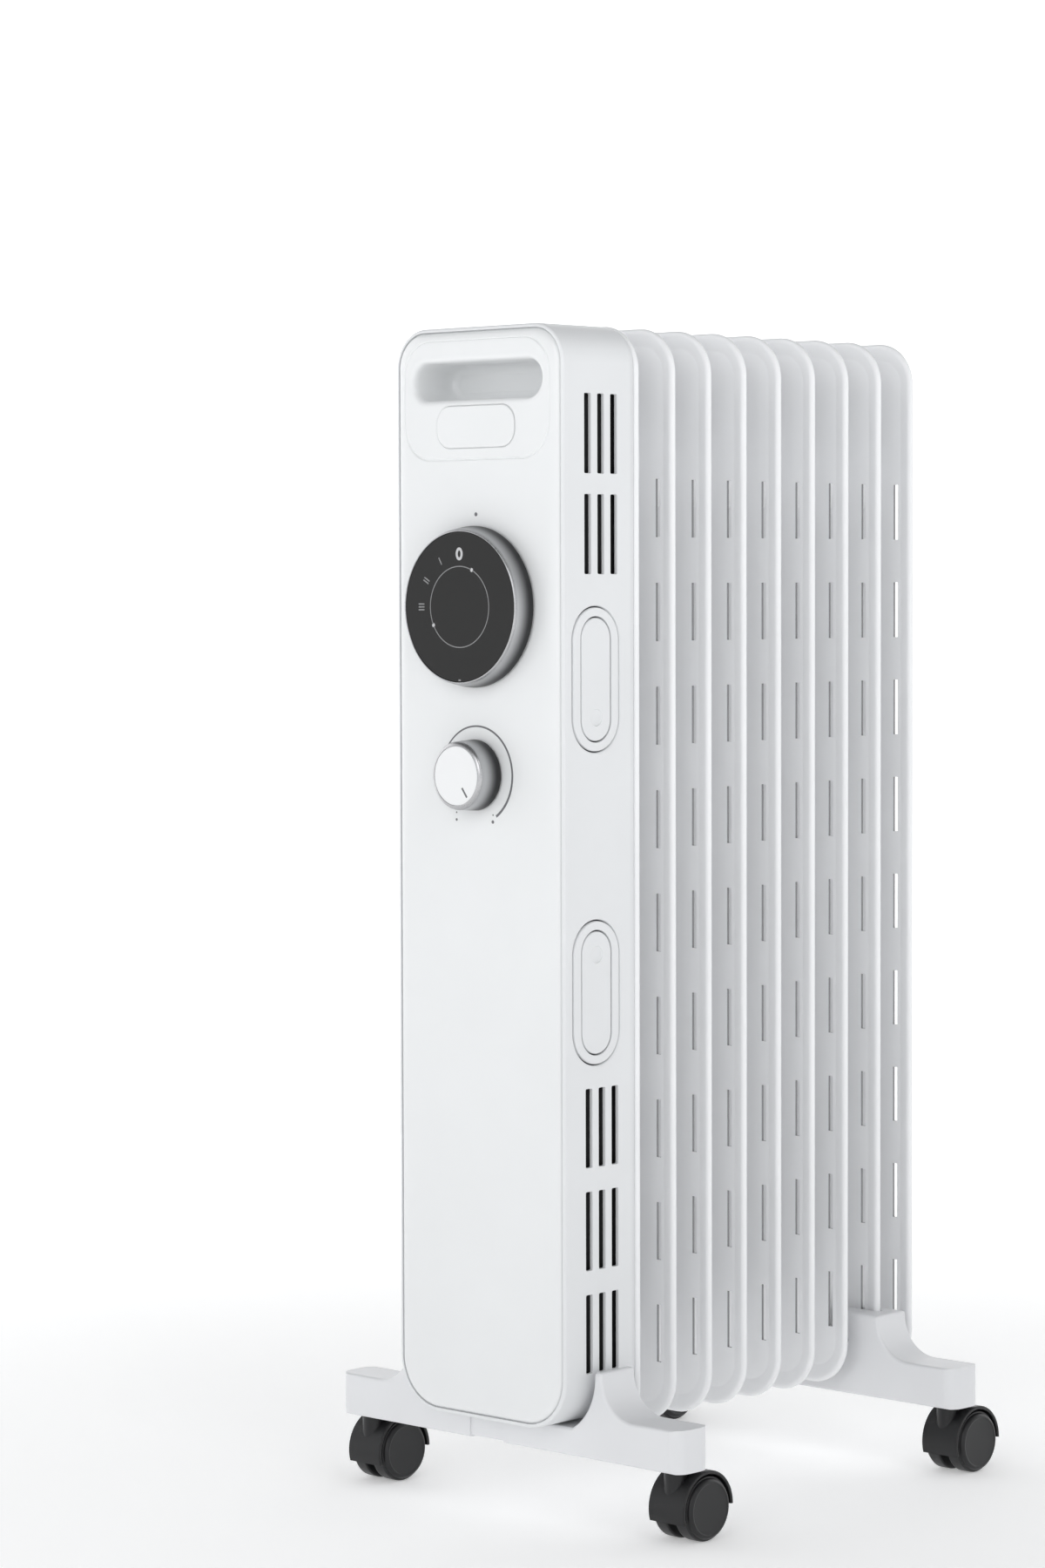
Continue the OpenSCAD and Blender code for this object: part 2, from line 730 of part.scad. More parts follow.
// Side view of the right half of a foot, in X and Z. The arm's inner side is at in_x, and a
// cradle of the given radius, centred at height cradle_z, leads from it down to the bed.
function foot_outline(in_x, cradle_r, cradle_z) = concat(
    [[foot_joint_gap, foot_low_z], [foot_span / 2, foot_low_z], [foot_span / 2, foot_high_z]],
    arc_points(foot_arm_out_x + foot_fillet_r, foot_high_z + foot_fillet_r, foot_fillet_r, 270, 180, 10),
    [[foot_arm_out_x, foot_arm_z], [in_x, foot_arm_z]],
    arc_points(in_x - cradle_r, cradle_z, cradle_r, 0, -asin((cradle_z - foot_bed_z) / cradle_r), 10),
    [[foot_joint_gap, foot_bed_z]]
);

// Top view of the right half of a foot
function foot_plan(y) = concat(
    [[0, y - foot_d / 2]],
    arc_points(foot_span / 2 - foot_corner_r, y - foot_d / 2 + foot_corner_r, foot_corner_r, -90, 0, 6),
    arc_points(foot_span / 2 - foot_corner_r, y + foot_d / 2 - foot_corner_r, foot_corner_r, 0, 90, 6),
    [[0, y + foot_d / 2]]
);

module foot_half(y, in_x, cradle_r, cradle_z) {
    difference() {
        intersection() {
            along_y(y - foot_d, y + foot_d) polygon(foot_outline(in_x, cradle_r, cradle_z));
            translate([0, 0, foot_low_z - 1]) linear_extrude(foot_arm_z) polygon(foot_plan(y));
        }
        translate([castor_x, y, foot_low_z - 1])
            cylinder(r = stem_r + stem_gap, h = socket_high_z - foot_low_z + 1);
    }
}

module front_foot_half() {
    difference() {
        foot_half(front_foot_y, front_arm_in_x, front_cradle_r, column_low_z + column_low_r);
        translate([foot_screw_x, front_foot_y, foot_low_z - 1]) {
            cylinder(r = foot_screw_head_r + 0.2, h = foot_screw_head_h + 1);
            cylinder(r = foot_screw_r, h = foot_arm_z);
        }
    }
}

// The rear foot straddles the last fin but one, in a slot that clears the fin's rim
module rear_foot_half() {
    difference() {
        foot_half(rear_foot_y, rear_arm_in_x, rear_cradle_r, foot_bed_z + rear_cradle_r);
        translate([-1, rear_foot_y - fin_clear, fin_low_z - fin_clear])
            cube([fin_w / 2 + fin_clear + 1, web_back_y + 2 * fin_clear, foot_arm_z]);
        bar_y(fin_bolt_r, fin_bolt_x, fin_bolt_z, rear_foot_y - foot_d, rear_foot_y + foot_d);
    }
}

module front_foot(side) {
    color("white") seated() mirror([side < 0 ? 1 : 0, 0, 0]) front_foot_half();
}

module rear_foot(side) {
    color("white") seated() mirror([side < 0 ? 1 : 0, 0, 0]) rear_foot_half();
}

// ---- Castors ----

module castor_wheel(place, outer) {
    side = place[1] * (outer ? 1 : -1);
    color("black") seated()
        translate([place[1] * castor_x, place[2] + castor_trail, wheel_r])
            mirror([side < 0 ? 1 : 0, 0, 0])
                rotate([0, 90, 0]) rotate_extrude() polygon([
                    [axle_r + running_gap, wheel_inner_x], [wheel_r - 0.6, wheel_inner_x],
                    [wheel_r, wheel_inner_x + 0.6], [wheel_r, wheel_outer_x - 1.8],
                    [wheel_r - 0.7, wheel_outer_x - 0.9], [wheel_r - wheel_bevel, wheel_outer_x],
                    [0, wheel_outer_x], [0, axle_half + 0.3], [axle_r + running_gap, axle_half + 0.3]
                ]);
}

// Sector of a tube round the wheel axis, from low in front, over the top, to behind
module hood_sector(r0, r1, half_w) {
    rotate([0, 90, 0])
        rotate([0, 0, 90])
            rotate_extrude(angle = 180 + hood_front_angle) translate([r0, -half_w])
                square([r1 - r0, 2 * half_w]);
}

module castor_hood(place) {
    color("black") seated() translate([place[1] * castor_x, place[2] + castor_trail, wheel_r])
        difference() {
            union() {
                hood_sector(hood_inner_r, hood_r, hood_half_w);
                hood_sector(hood_hub_r - 1, hood_r - 1, hood_web_half);
                rotate([0, 90, 0]) cylinder(r = hood_hub_r, h = 2 * hood_web_half, center = true);
                difference() {
                    translate([0, -castor_trail, 0])
                        cylinder(r = stem_boss_r, h = foot_low_z - swivel_gap - wheel_r);
                    rotate([0, 90, 0])
                        cylinder(r = hood_inner_r + 0.5, h = 4 * stem_boss_r, center = true);
                }
            }
            rotate([0, 90, 0]) cylinder(r = axle_r, h = 6 * hood_web_half, center = true);
            translate([0, -castor_trail, stem_low_z - wheel_r]) cylinder(r = stem_r, h = foot_low_z);
        }
}

module castor_pins(place) {
    color("silver") seated() translate([place[1] * castor_x, place[2], 0]) {
        translate([0, 0, stem_low_z]) cylinder(r = stem_r, h = stem_high_z - stem_low_z);
        bar_x(axle_r, castor_trail, wheel_r, -axle_half, axle_half);
    }
}

// ---- Fasteners ----

// Hex-head bolt along Y with the underside of its head at y0
module bolt_y(x, z, y0, y1) {
    bar_y(fin_bolt_r, x, z, y0, y1);
    translate([x, y0 - bolt_head_h, z]) rotate([-90, 0, 0])
        cylinder(r = bolt_head_r, h = bolt_head_h, $fn = 6);
}

housing_nut_y = fin_first_y + web_back_y;
foot_nut_y = rear_foot_y + foot_d / 2;

// The housing's bolts, each with a spacer between the back plate and the first fin
module housing_bolts() {
    color("dimgray") seated()
        for (s = [-1, 1]) {
            bolt_y(s * fin_bolt_x, fin_bolt_z, back_plate_y, housing_nut_y + nut_h + 0.5);
            bar_y(spacer_r, s * fin_bolt_x, fin_bolt_z, back_plate_y + back_plate_t,
                fin_first_y + web_front_y);
        }
}

module rear_foot_bolts() {
    color("dimgray") seated()
        for (s = [-1, 1])
            bolt_y(s * fin_bolt_x, fin_bolt_z, rear_foot_y - foot_d / 2, foot_nut_y + nut_h + 0.5);
}

module hex_nuts() {
    color("dimgray") seated()
        for (s = [-1, 1], y = [housing_nut_y, foot_nut_y]) difference() {
            translate([s * fin_bolt_x, y, fin_bolt_z]) rotate([-90, 0, 0])
                cylinder(r = nut_r, h = nut_h, $fn = 6);
            bar_y(fin_bolt_r, s * fin_bolt_x, fin_bolt_z, y - 1, y + nut_h + 1);
        }
}

module front_foot_screws() {
    color("dimgray") seated()
        for (s = [-1, 1]) translate([s * foot_screw_x, front_foot_y, foot_low_z]) {
            cylinder(r = foot_screw_head_r, h = foot_screw_head_h);
            cylinder(r = foot_screw_r, h = foot_screw_top_z - foot_low_z);
        }
}

// ---- Assembly ----

for (i = [1:fin_count]) fin(i);
header_necks();
end_caps();
oil_fill_plug();
heater_flange();
heating_elements();
control_housing();
front_panel();
back_plate();
badge_plate();
heat_knob();
heat_knob_ring();
heat_knob_face();
heat_switch();
heat_switch_shaft();
thermostat_knob();
thermostat_knob_ring();
thermostat();
thermostat_shaft();
terminal_block();
thermal_cutout();
tip_over_switch();
internal_wires();
cord_bush();
hook(upper_hook_z, 1);  // upper_hook
hook(lower_hook_z, -1);  // lower_hook
hook_cups();
hook_pins();
front_foot(1);  // front_foot_right
front_foot(-1);  // front_foot_left
rear_foot(1);  // rear_foot_right
rear_foot(-1);  // rear_foot_left
for (c = castor_places) {
    castor_hood(c);
    castor_pins(c);
    castor_wheel(c, false);
    castor_wheel(c, true);
}
housing_bolts();
rear_foot_bolts();
hex_nuts();
front_foot_screws();
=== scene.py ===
"""Looks of the oil filled radiator heater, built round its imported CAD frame.

Pieces are worked out in millimetres: X and Z are the frame's own, and Y is counted from the
front panel's face, as in the CAD source. make() turns them into metres in the frame.
"""
import json
from math import asin, cos, degrees, pi, radians, sin, sqrt

import bmesh
import bpy
from mathutils import Matrix, Vector
from mathutils.geometry import tessellate_polygon


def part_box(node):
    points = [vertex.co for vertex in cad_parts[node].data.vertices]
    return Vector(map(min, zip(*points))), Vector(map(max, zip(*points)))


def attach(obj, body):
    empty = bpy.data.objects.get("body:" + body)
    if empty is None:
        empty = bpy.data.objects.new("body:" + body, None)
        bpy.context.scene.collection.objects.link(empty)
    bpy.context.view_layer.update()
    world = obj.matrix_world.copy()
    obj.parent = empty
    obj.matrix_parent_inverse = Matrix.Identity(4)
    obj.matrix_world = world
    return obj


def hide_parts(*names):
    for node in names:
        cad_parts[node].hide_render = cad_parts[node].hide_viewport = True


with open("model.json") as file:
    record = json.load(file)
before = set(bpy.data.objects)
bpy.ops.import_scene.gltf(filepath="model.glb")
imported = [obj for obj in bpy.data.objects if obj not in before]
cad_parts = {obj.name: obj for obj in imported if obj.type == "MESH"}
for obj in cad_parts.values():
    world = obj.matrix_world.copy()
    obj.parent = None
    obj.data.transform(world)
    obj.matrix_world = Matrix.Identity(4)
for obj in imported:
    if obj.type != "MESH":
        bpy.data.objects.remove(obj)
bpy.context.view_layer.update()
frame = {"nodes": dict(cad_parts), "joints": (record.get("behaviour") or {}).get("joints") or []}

MM = 0.001
WELD = 1e-7
FACE_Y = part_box("front_panel")[0].y
ROOT = "heater"
CAMERA_AZIMUTH = 43.10


# ---- Places taken from the frame ----

def in_mm(point):
    """A point of the frame, in millimetres from the panel's face."""
    return Vector((point.x / MM, (point.y - FACE_Y) / MM, point.z / MM))


def span(node):
    """Lowest and highest corner of a CAD node, in millimetres."""
    low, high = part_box(node)
    return in_mm(low), in_mm(high)


def centre(node):
    low, high = span(node)
    return (low + high) / 2


joints = {j["name"]: in_mm(Vector(j["pos_m"])) for j in frame["joints"]}


# ---- Outlines ----

def arc(cx, cy, r, start, end, steps):
    """Points of an arc, in degrees, both ends included."""
    turn = [radians(start + (end - start) * i / steps) for i in range(steps + 1)]
    return [(cx + r * cos(a), cy + r * sin(a)) for a in turn]


def circle(r, cx=0.0, cy=0.0, steps=64):
    return arc(cx, cy, r, 0, 360, steps)[:-1]


def block(x0, x1, y0, y1, low_r, top_r, inset=0.0, steps=12):
    """A rounded rectangle whose lower and upper corners may differ, drawn in by inset."""
    x0, x1, y0, y1 = x0 + inset, x1 - inset, y0 + inset, y1 - inset
    low_r, top_r = max(low_r - inset, 0.02), max(top_r - inset, 0.02)
    return (arc(x1 - top_r, y1 - top_r, top_r, 0, 90, steps)
            + arc(x0 + top_r, y1 - top_r, top_r, 90, 180, steps)
            + arc(x0 + low_r, y0 + low_r, low_r, 180, 270, steps)
            + arc(x1 - low_r, y0 + low_r, low_r, 270, 360, steps))


def pill(w, h, cx, cy, inset=0.0, steps=16):
    """A rounded rectangle with full ends, centred on (cx, cy)."""
    r = min(w, h) / 2 - 0.01
    return block(cx - w / 2, cx + w / 2, cy - h / 2, cy + h / 2, r, r, inset, steps)


def smooth(points, steps=4):
    """A curve through the points of a profile."""
    out = []
    last = len(points) - 1
    for i in range(last):
        p0, p1 = points[max(i - 1, 0)], points[i]
        p2, p3 = points[i + 1], points[min(i + 2, last)]
        for k in range(steps):
            t = k / steps
            out.append(tuple(
                0.5 * (2 * b + (c - a) * t + (2 * a - 5 * b + 4 * c - d) * t * t
                       + (3 * b - a - 3 * c + d) * t ** 3)
                for a, b, c, d in zip(p0, p1, p2, p3)))
    return out + [points[last]]


def on_y(points, y):
    """An outline in X and Z, stood at y."""
    return [(a, y, b) for a, b in points]


def on_x(points, x):
    """An outline in Y and Z, stood at x."""
    return [(x, a, b) for a, b in points]


def on_z(points, z):
    """An outline in X and Y, laid at z."""
    return [(a, b, z) for a, b in points]


# ---- Meshes ----

class Shell:
    """Points in millimetres and the faces between them."""

    def __init__(self):
        self.points = []
        self.faces = []

    def ring(self, points):
        first = len(self.points)
        self.points.extend(points)
        return list(range(first, len(self.points)))

    def band(self, a, b, closed=True):
        for i in range(len(a) if closed else len(a) - 1):
            j = (i + 1) % len(a)
            self.faces.append((a[i], a[j], b[j], b[i]))

    def bands(self, rings, closed=True):
        for a, b in zip(rings, rings[1:]):
            self.band(a, b, closed)

    def web(self, *loops):
        """A flat region: the first loop is its edge and the others are holes."""
        flat = [i for loop in loops for i in loop]
        found = tessellate_polygon([[Vector(self.points[i]) for i in loop] for loop in loops])
        self.faces.extend(tuple(flat[k] for k in face) for face in found)

    def solid(self, sections):
        """Closed body through a list of outlines with the same number of points."""
        rings = [self.ring(points) for points in sections]
        self.bands(rings)
        self.web(rings[0])
        self.web(rings[-1])
        return rings

    def tube(self, sections):
        """Closed body through a list of outlines whose last one joins the first."""
        rings = [self.ring(points) for points in sections]
        self.bands(rings + rings[:1])

    def turned(self, profile, place, steps=64):
        """Lathe: profile is [radius, height], and place(a, b, height) gives a point.

        An end of the profile that isn't on the axis is closed with a flat disc.
        """
        rings = []
        for r, h in profile:
            if r < 1e-6:
                rings.append(self.ring([place(0.0, 0.0, h)]))
            else:
                rings.append(self.ring([place(a, b, h) for a, b in circle(r, steps=steps)]))
        for a, b in zip(rings, rings[1:]):
            if len(a) == 1:
                self.faces.extend((a[0], b[i], b[(i + 1) % steps]) for i in range(steps))
            elif len(b) == 1:
                self.faces.extend((a[i], a[(i + 1) % steps], b[0]) for i in range(steps))
            else:
                self.band(a, b)
        for end in (rings[0], rings[-1]):
            if len(end) > 1:
                self.web(end)


def turned_on(axis, x, y, z):
    """place() for a lathe round an axis through (x, y, z); heights count along that axis."""
    return {
        "X": lambda a, b, h: (x + h, y + a, z + b),
        "Y": lambda a, b, h: (x + a, y + h, z + b),
        "Z": lambda a, b, h: (x + a, y + b, z + h),
    }[axis]


def solid_object(name, shell):
    """A closed mesh object in the frame, in metres."""
    mesh = bpy.data.meshes.new(name)
    points = [(x * MM, FACE_Y + y * MM, z * MM) for x, y, z in shell.points]
    mesh.from_pydata(points, [], shell.faces)
    work = bmesh.new()
    work.from_mesh(mesh)
    bmesh.ops.remove_doubles(work, verts=work.verts, dist=WELD)
    bmesh.ops.recalc_face_normals(work, faces=work.faces)
    work.to_mesh(mesh)
    work.free()
    obj = bpy.data.objects.new(name, mesh)
    bpy.context.scene.collection.objects.link(obj)
    return obj


def carve(obj, operation, *shells):
    """Joins or cuts other closed shells into an object."""
    tools = [solid_object("tool", s) for s in shells]
    for tool in tools:
        step = obj.modifiers.new("step", "BOOLEAN")
        step.operation = operation
        step.solver = "EXACT"
        step.object = tool
    bpy.context.view_layer.update()
    done = bpy.data.meshes.new_from_object(obj.evaluated_get(bpy.context.evaluated_depsgraph_get()))
    assert done.vertices, f"nothing is left of {obj.name}"
    obj.modifiers.clear()
    obj.data = done
    for tool in tools:
        bpy.data.objects.remove(tool)


def dress(obj, material, body, nodes=(), angle=32):
    """Shades a piece, gives it its material and ties it to its CAD body."""
    obj.data.materials.clear()
    obj.data.materials.append(material)
    obj.data.shade_smooth()
    obj.data.set_sharp_from_angle(angle=radians(angle))
    normals = obj.modifiers.new("normals", "WEIGHTED_NORMAL")
    normals.keep_sharp = True
    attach(obj, body)
    if nodes:
        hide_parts(*nodes)
    return obj


def make(name, shell, material, body, nodes=(), angle=32):
    return dress(solid_object(name, shell), material, body, nodes, angle)


# ---- Materials ----

def coating(name, colour, rough, grain_mm=1.0, grain_depth=0.02, cloud=0.03, metallic=0.0,
            coat=0.0, specular=0.5):
    """A moulded, painted or plated surface.

    grain_mm and grain_depth are the size and depth of its fine texture, and cloud is how far
    its shade drifts over some centimetres.
    """
    mat = bpy.data.materials.new(name)
    mat.use_nodes = True
    nodes, links = mat.node_tree.nodes, mat.node_tree.links
    shader = nodes["Principled BSDF"]
    shader.inputs["Metallic"].default_value = metallic
    shader.inputs["Coat Weight"].default_value = coat
    shader.inputs["Coat Roughness"].default_value = 0.08
    shader.inputs["Specular IOR Level"].default_value = specular
    place = nodes.new("ShaderNodeTexCoord")

    drift = nodes.new("ShaderNodeTexNoise")
    drift.inputs["Scale"].default_value = 14.0
    drift.inputs["Detail"].default_value = 3.0
    links.new(place.outputs["Object"], drift.inputs["Vector"])
    shade = nodes.new("ShaderNodeValToRGB")
    low, high = shade.color_ramp.elements
    low.position, high.position = 0.3, 0.7
    low.color = [c * (1 - cloud) for c in colour] + [1]
    high.color = [min(c * (1 + cloud * 0.5), 1) for c in colour] + [1]
    links.new(drift.outputs["Fac"], shade.inputs["Fac"])
    links.new(shade.outputs["Color"], shader.inputs["Base Color"])

    grain = nodes.new("ShaderNodeTexNoise")
    grain.inputs["Scale"].default_value = 1.0 / (grain_mm * MM)
    grain.inputs["Detail"].default_value = 2.0
    links.new(place.outputs["Object"], grain.inputs["Vector"])
    gloss = nodes.new("ShaderNodeMapRange")
    gloss.inputs["To Min"].default_value = rough * 0.88
    gloss.inputs["To Max"].default_value = rough * 1.12
    links.new(grain.outputs["Fac"], gloss.inputs["Value"])
    links.new(gloss.outputs["Result"], shader.inputs["Roughness"])
    bump = nodes.new("ShaderNodeBump")
    bump.inputs["Strength"].default_value = 0.5
    bump.inputs["Distance"].default_value = grain_depth * MM
    links.new(grain.outputs["Fac"], bump.inputs["Height"])
    links.new(bump.outputs["Normal"], shader.inputs["Normal"])
    return mat


def paint_base_shade(mat, start, end, share):
    """Paints shade on a dial's side towards the panel, between two heights in millimetres: a darkening
    that stands in for the shadow round the knob's base.
    """
    nodes, links = mat.node_tree.nodes, mat.node_tree.links
    shader = nodes["Principled BSDF"]
    shade = shader.inputs["Base Color"].links[0].from_socket
    place = nodes.new("ShaderNodeTexCoord")
    apart = nodes.new("ShaderNodeSeparateXYZ")
    links.new(place.outputs["Object"], apart.inputs["Vector"])
    depth = nodes.new("ShaderNodeMapRange")
    depth.interpolation_type = "SMOOTHSTEP"
    depth.inputs["From Min"].default_value = FACE_Y + start * MM
    depth.inputs["From Max"].default_value = FACE_Y + end * MM
    depth.inputs["To Max"].default_value = share
    links.new(apart.outputs["Y"], depth.inputs["Value"])
    mix = nodes.new("ShaderNodeMix")
    mix.data_type = "RGBA"
    # painted shade: the near-black mixed in towards the panel
    mix.inputs["B"].default_value = (0.02, 0.02, 0.021, 1.0)
    links.new(depth.outputs["Result"], mix.inputs["Factor"])
    links.new(shade, mix.inputs["A"])
    links.new(mix.outputs["Result"], shader.inputs["Base Color"])


# name, colour, roughness, grain size and grain depth in millimetres, drift of the shade
PANEL_WHITE = coating("panel_white", (0.83, 0.84, 0.845), 0.30, 1.4, 0.012, 0.015, coat=0.25)
HOUSING_WHITE = coating("housing_white", (0.79, 0.80, 0.81), 0.38, 0.8, 0.015, 0.02)
FOOT_WHITE = coating("foot_white", (0.79, 0.795, 0.81), 0.40, 0.8, 0.02, 0.02)
FIN_PAINT = coating("fin_paint", (0.91, 0.915, 0.925), 0.52, 1.6, 0.05, 0.02)
# painted shade: a mid grey for the slot walls, for the shade seen through the slots
SLOT_PAINTED_SHADE = coating("slot_painted_shade", (0.32, 0.32, 0.33), 0.5, 0.8, 0.02, 0.1)
CAP_WHITE = coating("cap_white", (0.80, 0.81, 0.82), 0.40, 0.8, 0.015, 0.02)
FACE_WHITE = coating("face_white", (0.86, 0.865, 0.87), 0.22, 1.2, 0.008, 0.01, coat=0.3)
SATIN_SILVER = coating("satin_silver", (0.50, 0.505, 0.515), 0.40, 0.3, 0.006, 0.03, metallic=0.8)
# painted shade: the silver side darkens towards the panel, for the shadow at the knob's base
paint_base_shade(SATIN_SILVER, -12.5, -3.5, 0.95)
BRIGHT_TRIM = coating("bright_trim", (0.48, 0.48, 0.49), 0.28, 0.5, 0.002, 0.01, metallic=1.0)
BLACK_GLOSS = coating("black_gloss", (0.007, 0.0065, 0.006), 0.16, 2.0, 0.0015, 0.1, specular=0.4)
BLACK_NYLON = coating("black_nylon", (0.011, 0.011, 0.012), 0.34, 0.35, 0.02, 0.15, specular=0.4)
WHEEL_BLACK = coating("wheel_black", (0.013, 0.013, 0.014), 0.36, 0.5, 0.02, 0.15, specular=0.4)
# painted shade: near black for the sheets behind the vents, standing in for the shade inside the column
VENT_PAINTED_SHADE = coating("vent_painted_shade", (0.012, 0.012, 0.013), 0.7, 1.0, 0.05, 0.2)
PRINT_PALE = coating("print_pale", (0.55, 0.55, 0.56), 0.5, 0.4, 0.004, 0.05)
PRINT_DIM = coating("print_dim", (0.24, 0.24, 0.245), 0.5, 0.4, 0.004, 0.05)
PRINT_GREY = coating("print_grey", (0.16, 0.16, 0.17), 0.5, 0.4, 0.004, 0.05)
PLATED_STEEL = coating("plated_steel", (0.58, 0.59, 0.60), 0.32, 0.6, 0.01, 0.12, metallic=1.0)
DULL_STEEL = coating("dull_steel", (0.30, 0.30, 0.31), 0.45, 0.6, 0.02, 0.2, metallic=1.0)
IVORY = coating("ivory", (0.62, 0.58, 0.48), 0.45, 0.7, 0.02, 0.06)
WIRE_SLEEVE = coating("wire_sleeve", (0.22, 0.07, 0.03), 0.5, 0.5, 0.02, 0.1)


# ---- Fins ----

fin_low, fin_high = span("fin_5")
FIN_HALF_W, FIN_Z0, FIN_Z1 = fin_high.x, fin_low.z, fin_high.z
FIN_CORNER = 24.0
# heights of the two headers' axes, lower and upper
HEADER_Z = (FIN_Z0 + 48.0, FIN_Z1 - 70.5)
NECK_Y = (fin_high.y - fin_low.y) / 2
WEB = 0.8
SLOT_X, SLOT_W, SLOT_H = FIN_HALF_W - 13.0, 3.0, 30.7
SLOT_PITCH, SLOT_COUNT, SLOT_TOP = 54.8, 9, FIN_Z1 - 79.0

# [distance in from the edge, y from the fin's middle]: web, lip, rolled edge, groove, web
RIM = smooth([
    (9.8, -WEB), (9.2, -0.86), (8.5, -1.12), (7.3, -1.7), (5.8, -2.4), (4.2, -3.15), (2.9, -3.72),
    (2.1, -3.9), (1.3, -3.85), (0.6, -3.5), (0.15, -2.9), (0.0, -2.3), (0.02, -1.7),
], 3) + smooth([
    (0.25, -1.4), (0.7, -1.3), (1.2, -1.45), (1.5, -1.9), (2.1, -2.4), (3.2, -2.3), (4.5, -1.6),
    (5.9, -0.6), (7.4, 0.35), (8.7, 0.74), (9.8, WEB),
], 3)
# [radius, y from the fin's middle], from the web to the weld with the next fin
BARREL = smooth([
    (35.6, WEB), (34.7, 0.95), (33.8, 1.5), (33.1, 2.4), (32.5, 3.6), (31.4, 6.0), (30.1, 9.0),
    (29.0, 12.0), (28.4, 13.6), (28.0, 14.2), (27.2, NECK_Y),
], 3)
CHANNEL_X, CHANNEL_HALF, CHANNEL_RISE, CHANNEL_END = 17.5, 13.0, 2.6, 10.0


def fin_outline(inset):
    return block(-FIN_HALF_W, FIN_HALF_W, FIN_Z0, FIN_Z1, FIN_CORNER, FIN_CORNER, inset)


def add_channel(shell, x):
    """One oil channel: a long low swelling on both sides of the web."""
    across = [i / 12 - 1 for i in range(25)]
    z0, z1 = HEADER_Z[0] + CHANNEL_END, HEADER_Z[1] - CHANNEL_END
    sunk, fullness, levels = 0.3, 1.3, 8
    under, rise = WEB - sunk, CHANNEL_RISE + sunk
    sections = []
    for i in range(levels + 1):
        z = z0 + (z1 - z0) * i / levels
        front = [(x + CHANNEL_HALF * u, -under - rise * cos(u * pi / 2) ** fullness, z)
                 for u in across[1:-1]]
        edge = x + CHANNEL_HALF
        back = [(px, -py, pz) for px, py, pz in reversed(front)]
        sections.append([(x - CHANNEL_HALF, 0.0, z)] + front + [(edge, 0.0, z)] + back)
    shell.solid(sections)


def fin_shell():
    """One fin about y = 0: rolled rim, air slots, header barrels and two oil channels."""
    shell = Shell()
    rim = [shell.ring(on_y(fin_outline(inset), y)) for inset, y in RIM]
    shell.bands(rim)
    slots = []
    for side in (-1, 1):
        for k in range(SLOT_COUNT):
            z1 = SLOT_TOP - k * SLOT_PITCH
            x0, x1 = side * SLOT_X - SLOT_W / 2, side * SLOT_X + SLOT_W / 2
            corners = [(x0, z1 - SLOT_H), (x1, z1 - SLOT_H), (x1, z1), (x0, z1)]
            walls = [shell.ring(on_y(corners, y)) for y in (-WEB, WEB)]
            shell.band(*walls)
            slots.append(walls)
    for front_or_back, edge in ((0, rim[0]), (1, rim[-1])):
        way = 1 if front_or_back else -1
        mouths = []
        for z in HEADER_Z:
            rings = [shell.ring(on_y(circle(r, 0, z), way * y)) for r, y in BARREL]
            shell.bands(rings)
            shell.web(rings[-1])
            mouths.append(rings[0])
        shell.web(edge, *mouths, *[walls[front_or_back] for walls in slots])
    for x in (-CHANNEL_X, CHANNEL_X):
        add_channel(shell, x)
    return shell


def paint_slot_shade(obj):
    """Paints shade on the walls of the air slots as a darker colour, for the shade seen through them
    between the fins.
    """
    rim_height, slack = 30.0, 0.05
    obj.data.materials.append(SLOT_PAINTED_SHADE)
    for face in obj.data.polygons:
        x, z = abs(face.center.x) / MM, face.center.z / MM
        beside = abs(x - SLOT_X) < SLOT_W / 2 + slack
        if beside and FIN_Z0 + rim_height < z < FIN_Z1 - rim_height and abs(face.normal.y) < 0.1:
            face.material_index = 1


def build_fins():
    """Nine equal fins, placed by the pitch of the middle ones. The first also covers the necks."""
    count = sum(1 for n in frame["nodes"] if n.startswith("fin_"))
    middle = (count + 1) // 2
    pitch = centre(f"fin_{middle}").y - centre(f"fin_{middle - 1}").y
    pattern = fin_shell()
    for i in range(1, count + 1):
        node = f"fin_{i}"
        y = centre(f"fin_{middle}").y + (i - middle) * pitch
        shell = Shell()
        shell.points = [(px, py + y, pz) for px, py, pz in pattern.points]
        shell.faces = pattern.faces
        nodes = [node, "header_necks"] if i == 1 else [node]
        paint_slot_shade(make(f"pressed_{node}", shell, FIN_PAINT, ROOT, nodes, angle=38))


def build_end_caps():
    """Thin-walled caps over the last fin's header ends. The upper one replaces both CAD solids."""
    low, high = span("end_caps")
    r, out = high.x, high.y - low.y
    outer = smooth([
        (r, 0.0), (r - 0.5, 4.0), (r - 1.4, 9.0), (r - 2.6, 13.0), (r - 4.6, 16.4),
        (r - 7.4, 18.3), (r - 11.0, out - 0.1), (r - 17.0, out),
    ], 3)
    inner = [(r - 17.0, out - 1.5), (r - 9.4, out - 1.8), (r - 6.0, 15.0), (r - 4.0, 11.6),
             (r - 2.1, 6.5), (r - 1.5, 0.0)]
    for word, z in zip(("lower", "upper"), HEADER_Z):
        shell = Shell()
        place = turned_on("Y", 0, low.y, z)
        shell.turned([(0, out)] + outer[::-1] + inner[::-1] + [(0, out - 1.5)], place, 96)
        nodes = ["end_caps"] if word == "upper" else []
        make(f"{word}_end_cap", shell, CAP_WHITE, ROOT, nodes)


# ---- Control column ----

